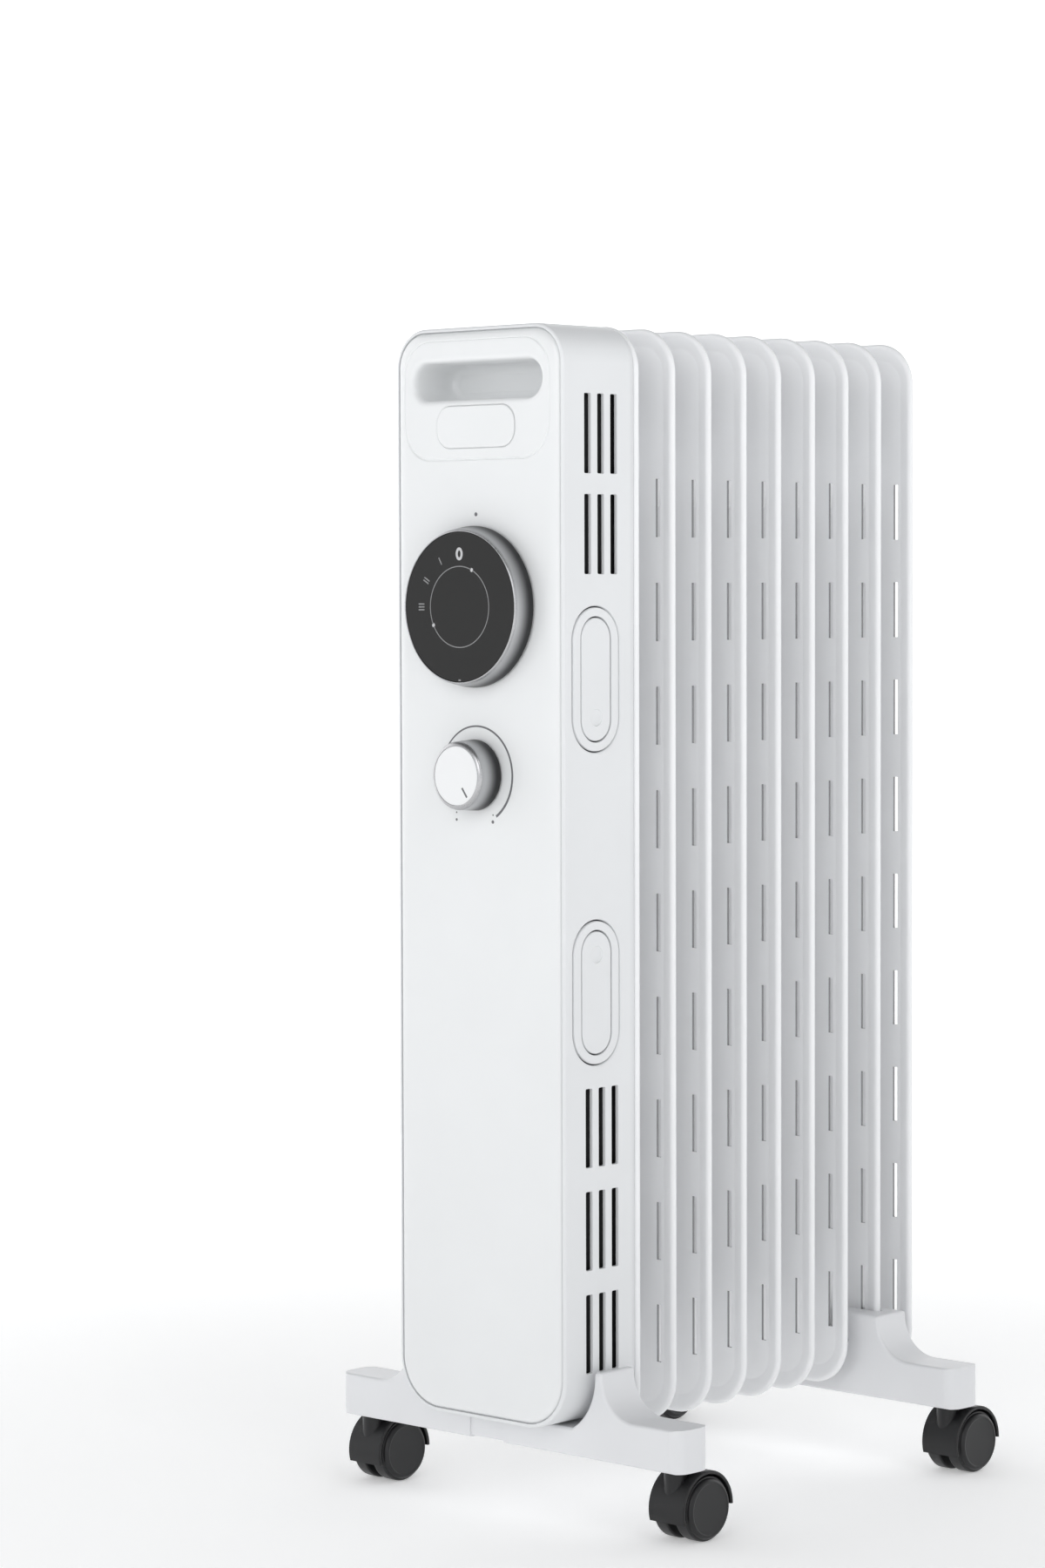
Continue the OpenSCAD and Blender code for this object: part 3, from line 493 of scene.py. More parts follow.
col_low, col_high = span("control_housing")
COL_X, COL_Z0, COL_Z1 = col_high.x, col_low.z, col_high.z
COL_Y0, COL_Y1 = col_low.y, col_high.y
COL_TOP_R, COL_LOW_R, COL_WALL = 20.5, 28.0, 2.0
hook_z = {"upper": centre("upper_hook").z, "lower": centre("lower_hook").z}
HOOK_Y = centre("upper_hook").y
CUP_W, CUP_H = 36.0, 75.5
VENT_W, VENT_H, VENT_CORNER = 5.0, 41.0, 0.8
VENT_Y = (20.5, 30.5, 40.5)
UPPER_VENTS, LOWER_VENTS = (568.5, 516.8), (210.0, 156.5, 102.8)
CUT_DEPTH = 4.0


def column_outline(inset):
    return block(-COL_X, COL_X, COL_Z0, COL_Z1, COL_LOW_R, COL_TOP_R, inset, 18)


def add_cutter(shell, outline_at, side, flare):
    """Adds a cutter into one side wall of the column, wider by flare at the surface."""
    levels = [(-flare, 1.0), (-flare, 0.0), (-flare * 0.35, -flare * 0.35), (0.0, -flare),
              (0.0, -CUT_DEPTH)]
    shell.solid([on_x(outline_at(inset), side * (COL_X + x)) for inset, x in levels])


def side_openings():
    """Cutters for the vents on both sides, the hooks on the right and the bush on the left."""
    shell = Shell()
    for side in (-1, 1):
        for z in UPPER_VENTS + LOWER_VENTS:
            for y in VENT_Y:
                add_cutter(shell, lambda inset, y=y, z=z: block(
                    y - VENT_W / 2, y + VENT_W / 2, z - VENT_H / 2, z + VENT_H / 2,
                    VENT_CORNER, VENT_CORNER, inset, 3), side, 0.4)
    for z in hook_z.values():
        add_cutter(shell, lambda inset, z=z: pill(CUP_W, CUP_H, HOOK_Y, z, inset, 24), 1, 1.2)
    bush, bush_r = centre("cord_bush"), 7.9
    add_cutter(shell, lambda inset: circle(bush_r - inset, bush.y, bush.z, 48), -1, 0.2)
    return shell


def build_housing():
    """The column's side shell, with a lip at the back that reaches the first fin."""
    edge, rear = 1.8, 0.6
    lip, lip_y = 1.2, COL_Y1 + 2.9
    profile = smooth([
        (edge, COL_Y0), (edge * 0.5, COL_Y0 + 0.25), (edge * 0.13, COL_Y0 + 0.8), (0, COL_Y0 + edge),
    ], 3) + smooth([
        (0, COL_Y1 - rear), (rear * 0.13, COL_Y1 - 0.3), (rear * 0.5, COL_Y1 - 0.08), (rear, COL_Y1),
    ], 3) + [(lip, COL_Y1), (lip, lip_y), (COL_WALL, lip_y), (COL_WALL, COL_Y0)]
    shell = Shell()
    shell.tube([on_y(column_outline(inset), y) for inset, y in profile])
    obj = solid_object("column_shell", shell)
    carve(obj, "DIFFERENCE", side_openings())
    dress(obj, HOUSING_WHITE, ROOT, ["control_housing"])


def build_vent_shade_sheets():
    """Near-black sheets a little behind the vents: painted shade for the dim inside of the column seen
    through them.
    """
    y0, y1, inner_x, outer_x = 15.0, 47.0, 54.6, 55.2
    margin, corner = 4.0, 2.0
    for side, word in ((1, "right"), (-1, "left")):
        for rows, level in ((UPPER_VENTS, "upper"), (LOWER_VENTS, "lower")):
            z0, z1 = min(rows) - VENT_H / 2 - margin, max(rows) + VENT_H / 2 + margin
            shell = Shell()
            outline = block(y0, y1, z0, z1, corner, corner)
            shell.solid([on_x(outline, side * x) for x in (inner_x, outer_x)])
            make(f"vent_shade_sheet_{level}_{word}", shell, VENT_PAINTED_SHADE, ROOT)


GRIP_Z = centre("badge_plate").z + 24.0
GRIP_W, GRIP_H, GRIP_DEPTH, GRIP_WALL = 91.0, 19.2, 30.0, 1.6
FRAME_W, FRAME_Z0, FRAME_Z1, FRAME_LOW_R, FRAME_TOP_R = 103.5, 556.2, 618.2, 19.0, 18.0
BADGE_R = 9.0
PANEL_INSET = 2.5


def groove(outline_at, width, depth):
    """A fine groove along an outline in the panel's face."""
    shell = Shell()
    across = [i / 6 - 1 for i in range(13)]
    section = [(u * width / 2, depth * (1 + cos(pi * u)) / 2) for u in across]
    lid = [(width / 2, -0.3), (-width / 2, -0.3)]
    shell.tube([on_y(outline_at(i), y) for i, y in section + lid])
    return shell


def grip_pocket():
    """The closed pocket behind the grip recess."""
    wide, high = GRIP_W + 2 * GRIP_WALL, GRIP_H + 2 * GRIP_WALL
    shell = Shell()
    shell.solid([on_y(pill(wide, high, 0, GRIP_Z, inset, 24), y)
                 for inset, y in ((0, 3.0), (0, GRIP_DEPTH - 1.0), (2.6, GRIP_DEPTH + GRIP_WALL))])
    return shell


def grip_recess():
    """The hollow that the fingers reach into, flared at its mouth and rounded at its floor."""
    mouth = smooth([(-3.4, -0.02), (-2.1, 0.22), (-1.05, 0.9), (-0.3, 2.2), (0.0, 4.2)], 3)
    floor = smooth([(0.0, GRIP_DEPTH - 6.0), (0.5, GRIP_DEPTH - 3.0), (2.0, GRIP_DEPTH - 0.9),
                    (5.0, GRIP_DEPTH)], 3)
    shell = Shell()
    shell.solid([on_y(pill(GRIP_W, GRIP_H, 0, GRIP_Z, inset, 24), y)
                 for inset, y in [(-3.4, -1.0)] + mouth + floor])
    return shell


def shaft_holes():
    """Cutters for the dials' shafts."""
    shell = Shell()
    for joint in ("heat_knob_turn", "thermostat_turn"):
        shell.solid([on_y(circle(4.5, 0, joints[joint].z, 40), y) for y in (-1.0, 5.0)])
    return shell


def build_panel():
    """The front panel with its grip recess, the fine lines round it and the shaft holes."""
    back, skirt, skirt_y = 1.6, COL_WALL - PANEL_INSET + 0.03, 12.0
    profile = [(back, 4.0), (back, skirt_y), (skirt, skirt_y), (skirt, 3.9), (0.0, 3.75)] + smooth([
        (0.0, 3.6), (0.18, 2.7), (0.9, 1.75), (2.2, 0.95), (4.0, 0.4), (6.2, 0.1), (9.0, 0.0),
    ], 4)
    shell = Shell()
    shell.solid([on_y(column_outline(PANEL_INSET + inset), y) for inset, y in profile])
    obj = solid_object("front_face", shell)
    carve(obj, "UNION", grip_pocket())
    frame_line = groove(lambda inset: block(-FRAME_W / 2, FRAME_W / 2, FRAME_Z0, FRAME_Z1,
                                            FRAME_LOW_R, FRAME_TOP_R, inset, 18), 2.0, 0.6)
    low, high = span("badge_plate")
    badge_line = groove(lambda inset: block(low.x, high.x, low.z, high.z,
                                            BADGE_R, BADGE_R, inset, 14), 1.6, 0.5)
    carve(obj, "DIFFERENCE", grip_recess(), frame_line, badge_line, shaft_holes())
    dress(obj, PANEL_WHITE, ROOT, ["front_panel"], angle=28)


def build_badge():
    """A blank badge, standing out a little from the panel."""
    low, high = span("badge_plate")
    levels = smooth([(0.0, 0.0), (0.0, -0.2), (0.1, -0.4), (0.4, -0.56), (0.9, low.y - high.y)], 3)
    shell = Shell()
    shell.solid([on_y(block(low.x, high.x, low.z, high.z, BADGE_R, BADGE_R, inset, 14), y)
                 for inset, y in levels])
    make("blank_badge", shell, PANEL_WHITE, ROOT, ["badge_plate"])


# ---- Dials ----

def bar(shell, cx, cz, length, width, angle, y, thick=0.06):
    """A flat printed bar centred on (cx, cz), its length along the angle."""
    c, s = cos(radians(angle)), sin(radians(angle))
    corners = [(-1, -1), (1, -1), (1, 1), (-1, 1)]
    flat = [(cx + a * c * length / 2 - b * s * width / 2,
             cz + a * s * length / 2 + b * c * width / 2) for a, b in corners]
    shell.solid([on_y(flat, y), on_y(flat, y - thick)])


def printed_ring(shell, cx, cz, rx, rz, width, y, thick=0.06, steps=72):
    """A closed printed line along an ellipse."""
    def ellipse(grow):
        turn = [2 * pi * i / steps for i in range(steps)]
        return [(cx + (rx + grow) * cos(a), cz + (rz + grow) * sin(a)) for a in turn]

    inner, outer = ellipse(-width / 2), ellipse(width / 2)
    shell.tube([on_y(inner, y), on_y(outer, y), on_y(outer, y - thick), on_y(inner, y - thick)])


def printed_arc(shell, cx, cz, r, start, end, w0, w1, y, thick=0.06, steps=72):
    """An open printed line along an arc, growing from width w0 to width w1."""
    sections = []
    for i in range(steps + 1):
        t = i / steps
        a = radians(start + (end - start) * t)
        w = (w0 + (w1 - w0) * t) / 2
        sections.append([(cx + q * cos(a), yy, cz + q * sin(a))
                         for q, yy in ((r - w, y), (r + w, y), (r + w, y - thick), (r - w, y - thick))])
    shell.solid(sections)


SHAFT_R, HUB_R = 3.2, 6.0
DIAL_GAP = -0.5


def build_heat_dial():
    """Satin knob with a bright rim round a gloss black face."""
    steps = 128
    axis_z = joints["heat_knob_turn"].z
    place = turned_on("Y", 0, 0, axis_z)
    face = span("heat_knob_ring")[0].y
    r, front_r = span("heat_knob")[1].x, span("heat_knob_ring")[1].x
    inner_r, seat, top = front_r - 1.0, face + 1.2, face + 0.35
    side = Shell()
    side.turned([(SHAFT_R, DIAL_GAP), (HUB_R, DIAL_GAP), (HUB_R, seat + 2.4),
                 (front_r - 2.4, seat + 2.4), (r - 2.2, DIAL_GAP)]
                + smooth([(r - 1.0, DIAL_GAP), (r - 0.9, -1.3), (r - 0.1, -1.7), (r, -2.2),
                          (r - 0.25, -4.5), (r - 0.9, -8.0), (front_r + 0.35, seat + 0.3),
                          (front_r + 0.1, seat)], 3)
                + [(SHAFT_R, seat)], place, steps)
    make("heat_dial_body", side, SATIN_SILVER, "heat_dial", ["heat_knob"])
    ring = Shell()
    ring.tube([[place(a, b, h) for a, b in circle(q, steps=steps)] for q, h in smooth([
        (front_r + 0.1, seat), (front_r, seat - 0.5), (front_r - 0.25, face + 0.2),
        (front_r - 0.6, face), (inner_r + 0.1, face + 0.15), (inner_r, face + 0.4)], 3)
        + [(inner_r, seat)]])
    make("heat_dial_rim", ring, BRIGHT_TRIM, "heat_dial", ["heat_knob_ring"])
    disc = Shell()
    disc.turned([(inner_r - 0.05, seat), (inner_r - 0.05, top + 0.2), (inner_r - 0.3, top),
                 (0.0, top)], place, steps)
    make("heat_dial_face", disc, BLACK_GLOSS, "heat_dial", ["heat_knob_face"])
    print_heat_dial(axis_z, top)


def print_heat_dial(axis_z, top):
    """The dial's marks: 0 at the top, one to three strokes beside it, and a fine circle."""
    line_r, mark_r, stroke_pitch = 21.0, 27.4, 1.5
    marks = Shell()
    for angle in (65, 207):
        a = radians(angle)
        bar(marks, line_r * cos(a), axis_z + line_r * sin(a), 1.9, 1.5, angle, top)
    printed_ring(marks, 0, axis_z + mark_r, 1.75, 2.6, 1.5, top, steps=36)
    make("heat_dial_marks", marks, PRINT_PALE, "heat_dial")
    dim = Shell()
    printed_ring(dim, 0, axis_z, line_r, line_r, 0.5, top, 0.04)
    for strokes, angle in ((1, 120), (2, 150), (3, 180)):
        a = radians(angle)
        for k in range(strokes):
            off = (k - (strokes - 1) / 2) * stroke_pitch
            bar(dim, mark_r * cos(a) - off * sin(a), axis_z + mark_r * sin(a) + off * cos(a),
                4.2, 0.7, angle, top)
    bar(dim, 0, axis_z - 38.0, 0.9, 1.6, 90, top)
    make("heat_dial_scale", dim, PRINT_DIM, "heat_dial")


def build_thermostat_dial():
    """Satin knob with a bright bevel round a white face and one printed stroke."""
    body, steps = "thermostat_dial", 96
    axis_z = joints["thermostat_turn"].z
    place = turned_on("Y", 0, 0, axis_z)
    face = span("thermostat_knob_ring")[0].y
    r, front_r = span("thermostat_knob")[1].x, span("thermostat_knob_ring")[1].x
    inner_r, seat, top = front_r - 2.3, face + 2.0, face + 0.1
    side = Shell()
    side.turned([(SHAFT_R, DIAL_GAP), (HUB_R, DIAL_GAP), (HUB_R, seat + 2.0),
                 (front_r - 3.0, seat + 2.0), (r - 3.0, DIAL_GAP)]
                + smooth([(r - 0.7, DIAL_GAP), (r - 0.6, -1.1), (r - 0.05, -1.5), (r, -2.0),
                          (r - 0.3, -8.0), (front_r + 0.1, seat + 0.4), (front_r, seat)], 3)
                + [(SHAFT_R, seat)], place, steps)
    make("thermostat_dial_body", side, SATIN_SILVER, body, ["thermostat_knob"])
    ring = Shell()
    ring.tube([[place(a, b, h) for a, b in circle(q, steps=steps)] for q, h in smooth([
        (front_r, seat), (front_r - 0.15, face + 1.4), (front_r - 0.7, face + 0.7),
        (front_r - 1.5, face + 0.2), (inner_r + 0.1, face), (inner_r, face + 0.25)], 3)
        + [(inner_r, seat)]])
    make("thermostat_dial_rim", ring, BRIGHT_TRIM, body, ["thermostat_knob_ring"])
    disc = Shell()
    disc.turned([(inner_r - 0.05, seat), (inner_r - 0.05, top + 0.2), (inner_r - 0.4, top),
                 (0.0, top)], place, steps)
    make("thermostat_dial_face", disc, FACE_WHITE, body)
    mark = Shell()
    angle, mark_r = -54, 10.6
    a = radians(angle)
    bar(mark, mark_r * cos(a), axis_z + mark_r * sin(a), 6.0, 1.1, angle, top)
    make("thermostat_dial_mark", mark, PRINT_GREY, body)


def build_panel_print():
    """The thermostat's arc with its dots, and the dot above the heat dial."""
    heat_z, thermostat_z = joints["heat_knob_turn"].z, joints["thermostat_turn"].z
    lift = -0.01
    marks = Shell()
    printed_arc(marks, 0, thermostat_z, 25.4, 215, -57, 0.6, 1.35, lift)
    printed_ring(marks, 0, heat_z + 48.0, 0.55, 0.55, 1.0, lift, steps=20)
    for x, z, r in ((-14.7, -20.0, 0.45), (-14.7, -23.8, 0.7), (11.6, -20.6, 0.45),
                    (11.4, -24.2, 0.9)):
        printed_ring(marks, x, thermostat_z + z, r * 0.5, r * 0.5, r, lift, steps=20)
    make("panel_print", marks, PRINT_GREY, ROOT)


# ---- Cord hooks and bush ----

def across_pivot(pivot, outline, y0, y1):
    """A bar along a hook's pivot, with its outline in X and Z counted from the pivot."""
    shell = Shell()
    shell.solid([[(pivot.x + a, y, pivot.z + b) for a, b in outline] for y in (y0, y1)])
    return shell


def build_hooks():
    """Oval flaps on a pin near one end, each with a dimple to press beyond the pin."""
    low, high = span("upper_hook")
    w, h = high.y - low.y, high.z - low.z
    thick, knuckle_r, pin_r, press_offset = 2.2, 2.2, 1.05, 12.0
    levels = [(0.4, -thick), (0.0, -thick + 0.4), (0.0, -0.7)] + smooth([
        (0.1, -0.32), (0.34, -0.08), (0.8, 0.0)], 2)
    for name, way in (("upper", 1), ("lower", -1)):
        z = hook_z[name]
        pivot = joints[f"{name}_hook_swing"]
        flap, dimple = Shell(), Shell()
        flap.solid([on_x(pill(w, h, HOOK_Y, z, inset, 24), COL_X + x) for inset, x in levels])
        obj = solid_object(f"{name}_hook_flap", flap)
        press_z = pivot.z - way * press_offset
        dimple.solid([on_x(circle(r, HOOK_Y, press_z, 48), COL_X + x) for r, x in (
            (4.6, 0.2), (4.5, 0.0), (4.25, -0.5), (3.5, -0.85), (1.3, -1.0))])
        outline = arc(0, 0, knuckle_r, 90, 270, 16) + [(2.8, -knuckle_r), (2.8, knuckle_r)]
        knuckle = across_pivot(pivot, outline, HOOK_Y - 7.0, HOOK_Y + 7.0)
        bore = across_pivot(pivot, circle(pin_r, steps=32), HOOK_Y - 8.0, HOOK_Y + 8.0)
        carve(obj, "UNION", knuckle)
        carve(obj, "DIFFERENCE", dimple, bore)
        dress(obj, HOUSING_WHITE, f"{name}_cord_hook", [f"{name}_hook"])


def build_cups():
    """Oval cups in the housing's wall. Each is a thin bowl with two bosses for the hook's pin."""
    low, high = span("upper_hook")
    w, h = high.y - low.y + 1.6, high.z - low.z + 1.6
    wall, depth, lip = 1.5, 23.5, 1.5
    for name in ("upper", "lower"):
        z = hook_z[name]
        pivot = joints[f"{name}_hook_swing"]
        shell = Shell()
        outside = [(1.1, 0.0), (0.8, -0.2), (0.65, -0.6), (0.6, -lip)]
        sections = [on_x(pill(CUP_W, CUP_H, HOOK_Y, z, inset, 24), COL_X + x)
                    for inset, x in reversed(outside)]
        sections += [on_x(pill(w, h, HOOK_Y, z, inset, 24), COL_X + x) for inset, x in (
            (-0.35, 0.0), (-0.1, -0.12), (0.0, -0.4), (0.0, -depth + 3.0), (0.6, -depth + 0.8),
            (2.6, -depth))]
        body = [on_x(pill(w, h, HOOK_Y, z, inset, 24), COL_X + x) for inset, x in (
            (-wall, -lip), (-wall, -depth + 3.0), (1.4, -depth - wall))]
        rings = [shell.ring(s) for s in body[::-1] + sections]
        shell.bands(rings)
        shell.web(rings[0])
        shell.web(rings[-1])
        for side in (-1, 1):
            y0, y1 = sorted((HOOK_Y + side * 7.4, HOOK_Y + side * (w / 2 + 0.4)))
            shell.solid([[(pivot.x + a, y, pivot.z + b) for a, b in circle(1.7, steps=32)]
                         for y in (y0, y1)])
        nodes = ["hook_cups"] if name == "upper" else []
        make(f"{name}_hook_cup", shell, HOUSING_WHITE, ROOT, nodes)


def build_bush():
    """A rubber bush with a flange outside the left wall."""
    low, high = span("cord_bush")
    mid = centre("cord_bush")
    flange, neck, bore, length = (high.z - low.z) / 2, 7.85, 4.25, high.x - low.x
    profile = smooth([(bore, 0.35), (bore + 0.3, 0.05), (bore + 0.8, 0.0)], 2) + smooth([
        (flange - 2.4, 0.15), (flange - 0.8, 0.5), (flange - 0.1, 1.0), (flange, 1.4)], 3) + [
        (flange - 0.2, 1.5), (neck, 1.5), (neck, length - 0.9), (neck - 0.6, length), (bore, length)]
    shell = Shell()
    place = turned_on("X", low.x, mid.y, mid.z)
    shell.tube([[place(a, b, h) for a, b in circle(r, steps=64)] for r, h in profile])
    make("cord_bush_rubber", shell, BLACK_NYLON, ROOT, ["cord_bush"])


# ---- Feet ----

foot_low, foot_high = span("front_foot_right")
FOOT_X, FOOT_Z0, FOOT_Z1 = foot_high.x, foot_low.z, foot_high.z
FOOT_D = foot_high.y - foot_low.y
CASTOR_X = abs(joints["front_right_castor_swivel"].x)
BEAM_TOP = 60.5
BED_Z = COL_Z0 - 0.3
ARM_X, ARM_CORNER = 70.5, 1.6
FILLET_R = 21.5
EDGE_R = 1.7
END_R = 8.5


def foot_outline(inset, inner_x, arm_in, cradle_r, cradle_z):
    """Front view of a foot's right half, drawn in by inset; rounded parts keep their centres."""
    bed, top = BED_Z - inset, FOOT_Z1 - inset
    arm_out, arm_in, cradle = ARM_X - inset, arm_in + inset, cradle_r + inset
    reach = degrees(asin(min((cradle_z - bed) / cradle, 1.0)))
    fillet_x, fillet_z = ARM_X + FILLET_R, BEAM_TOP + FILLET_R
    return ([(inner_x, FOOT_Z0 + inset), (FOOT_X - inset, FOOT_Z0 + inset),
             (FOOT_X - inset, BEAM_TOP - inset)]
            + arc(fillet_x, fillet_z, FILLET_R + inset, 270, 180, 16)
            + arc(arm_out - ARM_CORNER, top - ARM_CORNER, ARM_CORNER, 0, 90, 4)
            + arc(arm_in + ARM_CORNER, top - ARM_CORNER, ARM_CORNER, 90, 180, 4)
            + arc(arm_in - cradle, cradle_z, cradle, 0, -reach, 16)
            + [(inner_x, bed)])


def end_rounding(point, mid_y):
    """Rounds the foot's upright end corners as seen from above."""
    x, y, z = point
    start = FOOT_X - END_R
    past = max(abs(y - mid_y) - (FOOT_D / 2 - END_R), 0.0)
    if x > start:
        limit = start + sqrt(max(END_R ** 2 - past ** 2, 0.0))
        x = start + (x - start) * (limit - start) / END_R
    return (x, y, z)


def both_ways(levels, mid_y):
    """Turns [inset, distance from the foot's middle] into sections from front to back."""
    front = [(inset, mid_y - y) for inset, y in levels]
    return front + [(inset, mid_y + y) for inset, y in reversed(levels)]


def foot_shell(side, mid_y, arm_in, cradle_r, cradle_z):
    """One half of a foot with rounded edges. The left half leaves room for its tongue."""
    inner_x = 0.2 if side > 0 else 24.0
    levels = [(EDGE_R * (1 - sin(radians(a))), FOOT_D / 2 - EDGE_R * (1 - cos(radians(a))))
              for a in (0, 22, 45, 68, 90)]
    levels += [(0.0, FOOT_D / 2 - d) for d in (2.3, 3.2, 4.4, 6.0, END_R)]
    shell = Shell()
    shell.solid([
        [(side * p[0], p[1], p[2]) for p in (
            end_rounding(q, mid_y)
            for q in on_y(foot_outline(inset, inner_x, arm_in, cradle_r, cradle_z), y))]
        for inset, y in both_ways(levels, mid_y)])
    return shell


def foot_tongue(mid_y):
    """The left half's tongue, which reaches into the middle of the foot."""
    x0, x1, z0, z1 = -26.0, -0.3, FOOT_Z0 + 0.9, BED_Z - 0.5
    shell = Shell()
    shell.solid([on_y([(x0, z0 + inset), (x1, z0 + inset), (x1, z1 - inset), (x0, z1 - inset)], y)
                 for inset, y in both_ways([(0.8, 12.2), (0.25, 11.9), (0.0, 11.2)], mid_y)])
    return shell


def rim_slot(side, mid_y):
    """Cutter that lets the last fin's rim down into the rear foot."""
    width, low, high = FIN_HALF_W + 0.3, FIN_Z0 - 0.2, 90.0
    x0, x1 = (-1.0, width) if side > 0 else (-width, 1.0)
    shell = Shell()
    shell.solid([on_y([(x0, low), (x1, low), (x1, high), (x0, high)], y)
                 for y in (mid_y - 0.2, mid_y + 5.0)])
    return shell


def foot_half(name, side, arm_in, cradle_r, cradle_z, holds_rim=False):
    """A foot's half with its castor socket. The foot's inner sides curve round a cradle."""
    mid_y = centre(name).y
    obj = solid_object(f"{name}_moulding", foot_shell(side, mid_y, arm_in, cradle_r, cradle_z))
    if side < 0:
        carve(obj, "UNION", foot_tongue(mid_y))
    socket = Shell()
    socket.solid([on_z(circle(4.1, side * CASTOR_X, mid_y, 40), z) for z in (30.0, 57.0)])
    cuts = [rim_slot(side, mid_y), socket] if holds_rim else [socket]
    carve(obj, "DIFFERENCE", *cuts)
    dress(obj, FOOT_WHITE, ROOT, [name], angle=30)


def build_feet():
    """The front foot cradles the column's round corners, and the rear one holds the last fin."""
    gap, rear_arm_in, rear_r = 5.0, 40.0, 12.0
    for side, word in ((1, "right"), (-1, "left")):
        foot_half(f"front_foot_{word}", side, COL_X + gap, COL_LOW_R + gap, COL_Z0 + COL_LOW_R)
        foot_half(f"rear_foot_{word}", side, rear_arm_in, rear_r, BED_Z + rear_r, holds_rim=True)


# ---- Castors ----

HOOD_IN, HOOD_OUT, HOOD_HALF = 17.8, 19.8, 12.0
HOOD_FRONT, HOOD_REAR = -18, 180
BOSS_R = 6.0


def sector(shell, x_half, r0, r1, corner, axle, steps=44):
    """A curved bar round the wheel's axle, from low in front over the top to behind."""
    outline = block(-x_half, x_half, r0, r1, corner, corner, 0, 4)
    sections = []
    for i in range(steps + 1):
        a = radians(HOOD_FRONT + (HOOD_REAR - HOOD_FRONT) * i / steps)
        sections.append([(axle.x + x, axle.y - r * cos(a), axle.z + r * sin(a)) for x, r in outline])
    shell.solid(sections)


# [radius, distance from the castor's middle]: axle bore, inner side, tread, step, outer disc
WHEEL = [(0.0, 12.6), (2.1, 12.6), (2.1, 2.9), (15.6, 2.9)] + smooth([
    (16.2, 2.95), (16.8, 3.3), (17.0, 3.9), (17.0, 6.0), (17.0, 9.6), (16.9, 10.4), (16.5, 11.0),
], 2) + smooth([
    (15.9, 11.1), (15.7, 11.5), (15.6, 12.1), (15.1, 12.8), (14.4, 13.25), (13.7, 13.4),
], 2) + [(13.2, 13.28), (12.9, 13.1), (6.0, 13.0), (0.0, 12.95)]


def castor_boss(swivel, axle, top):
    """Rings of the boss round the swivel, from the hood's curve up to its flat top."""
    shell_r = (HOOD_IN + HOOD_OUT) / 2

    def ring_on_hood(lift, least):
        """A ring lying on the hood's curve, no lower than least."""
        return [(x, y, max(axle.z + sqrt(max(shell_r ** 2 - (y - axle.y) ** 2, 0.0)) + lift, least))
                for x, y in circle(BOSS_R, swivel.x, swivel.y, 48)]

    return [ring_on_hood(-0.6, 0.0), ring_on_hood(0.4, top - 2.0)] + [
        on_z(circle(r, swivel.x, swivel.y, 48), z)
        for r, z in ((BOSS_R, top - 0.4), (BOSS_R - 0.4, top))]


def build_castor(corner):
    """A hood that swivels with its boss and middle web, and two wheels that roll apart."""
    swivel = joints[f"{corner}_castor_swivel"]
    axle = joints[f"{corner}_inner_wheel_roll"]
    place = turned_on("X", axle.x, axle.y, axle.z)
    web_half, hub_half = 2.4, 2.0
    hood = Shell()
    sector(hood, HOOD_HALF, HOOD_IN, HOOD_OUT, 0.7, axle)
    sector(hood, web_half, 5.0, HOOD_OUT - 1.0, 0.3, axle)
    hood.turned([(5.4, -web_half), (6.0, -hub_half), (6.0, hub_half), (5.4, web_half)], place, 40)
    hood.solid(castor_boss(swivel, axle, span(f"{corner}_castor_hood")[1].z))
    make(f"{corner}_castor_cover", hood, BLACK_NYLON, f"{corner}_castor",
         [f"{corner}_castor_hood"])
    side = 1 if swivel.x > 0 else -1
    for which, way in (("outer", side), ("inner", -side)):
        node = f"{corner}_{which}_wheel"
        wheel = Shell()
        wheel.turned(WHEEL, lambda a, b, h, w=way: place(a, b, w * h), 72)
        make(f"{node}_disc", wheel, WHEEL_BLACK, f"{node}_body", [node])


# ---- Small CAD parts ----

def finish_cad_parts():
    """Materials and softened edges for the CAD nodes that keep their own shape."""
    kept = {
        PLATED_STEEL: ["oil_fill_plug", "heater_flange", "back_plate", "heat_switch_shaft",
                       "thermostat_shaft", "hook_pins", "housing_bolts", "rear_foot_bolts",
                       "hex_nuts", "front_foot_screws"],
        DULL_STEEL: ["heating_elements"],
        BLACK_NYLON: ["heat_switch", "thermal_cutout"],
        IVORY: ["thermostat", "terminal_block", "tip_over_switch"],
        WIRE_SLEEVE: ["internal_wires"],
    }
    kept[PLATED_STEEL] += [n for n in frame["nodes"] if n.endswith("_castor_pins")]
    for material, names in kept.items():
        for name in names:
            obj = frame["nodes"][name]
            obj.data.materials.clear()
            obj.data.materials.append(material)
            soften = obj.modifiers.new("soften", "BEVEL")
            soften.width = 0.3 * MM
            soften.segments = 2
            soften.limit_method = "ANGLE"
            soften.angle_limit = radians(40)
            soften.harden_normals = True


# ---- Studio ----

FLOOR_WHITE = (0.92, 0.92, 0.92)
FLOOR_GLOW, BACKDROP_GLOW = 0.28, 0.62
ROOM_GLOW, CEILING_GLOW = 1.04, 0.18
FLOOR_R, WALL_R, WALL_H = 3200.0, 4400.0, 3600.0
HALF_SWEEP = 80.0


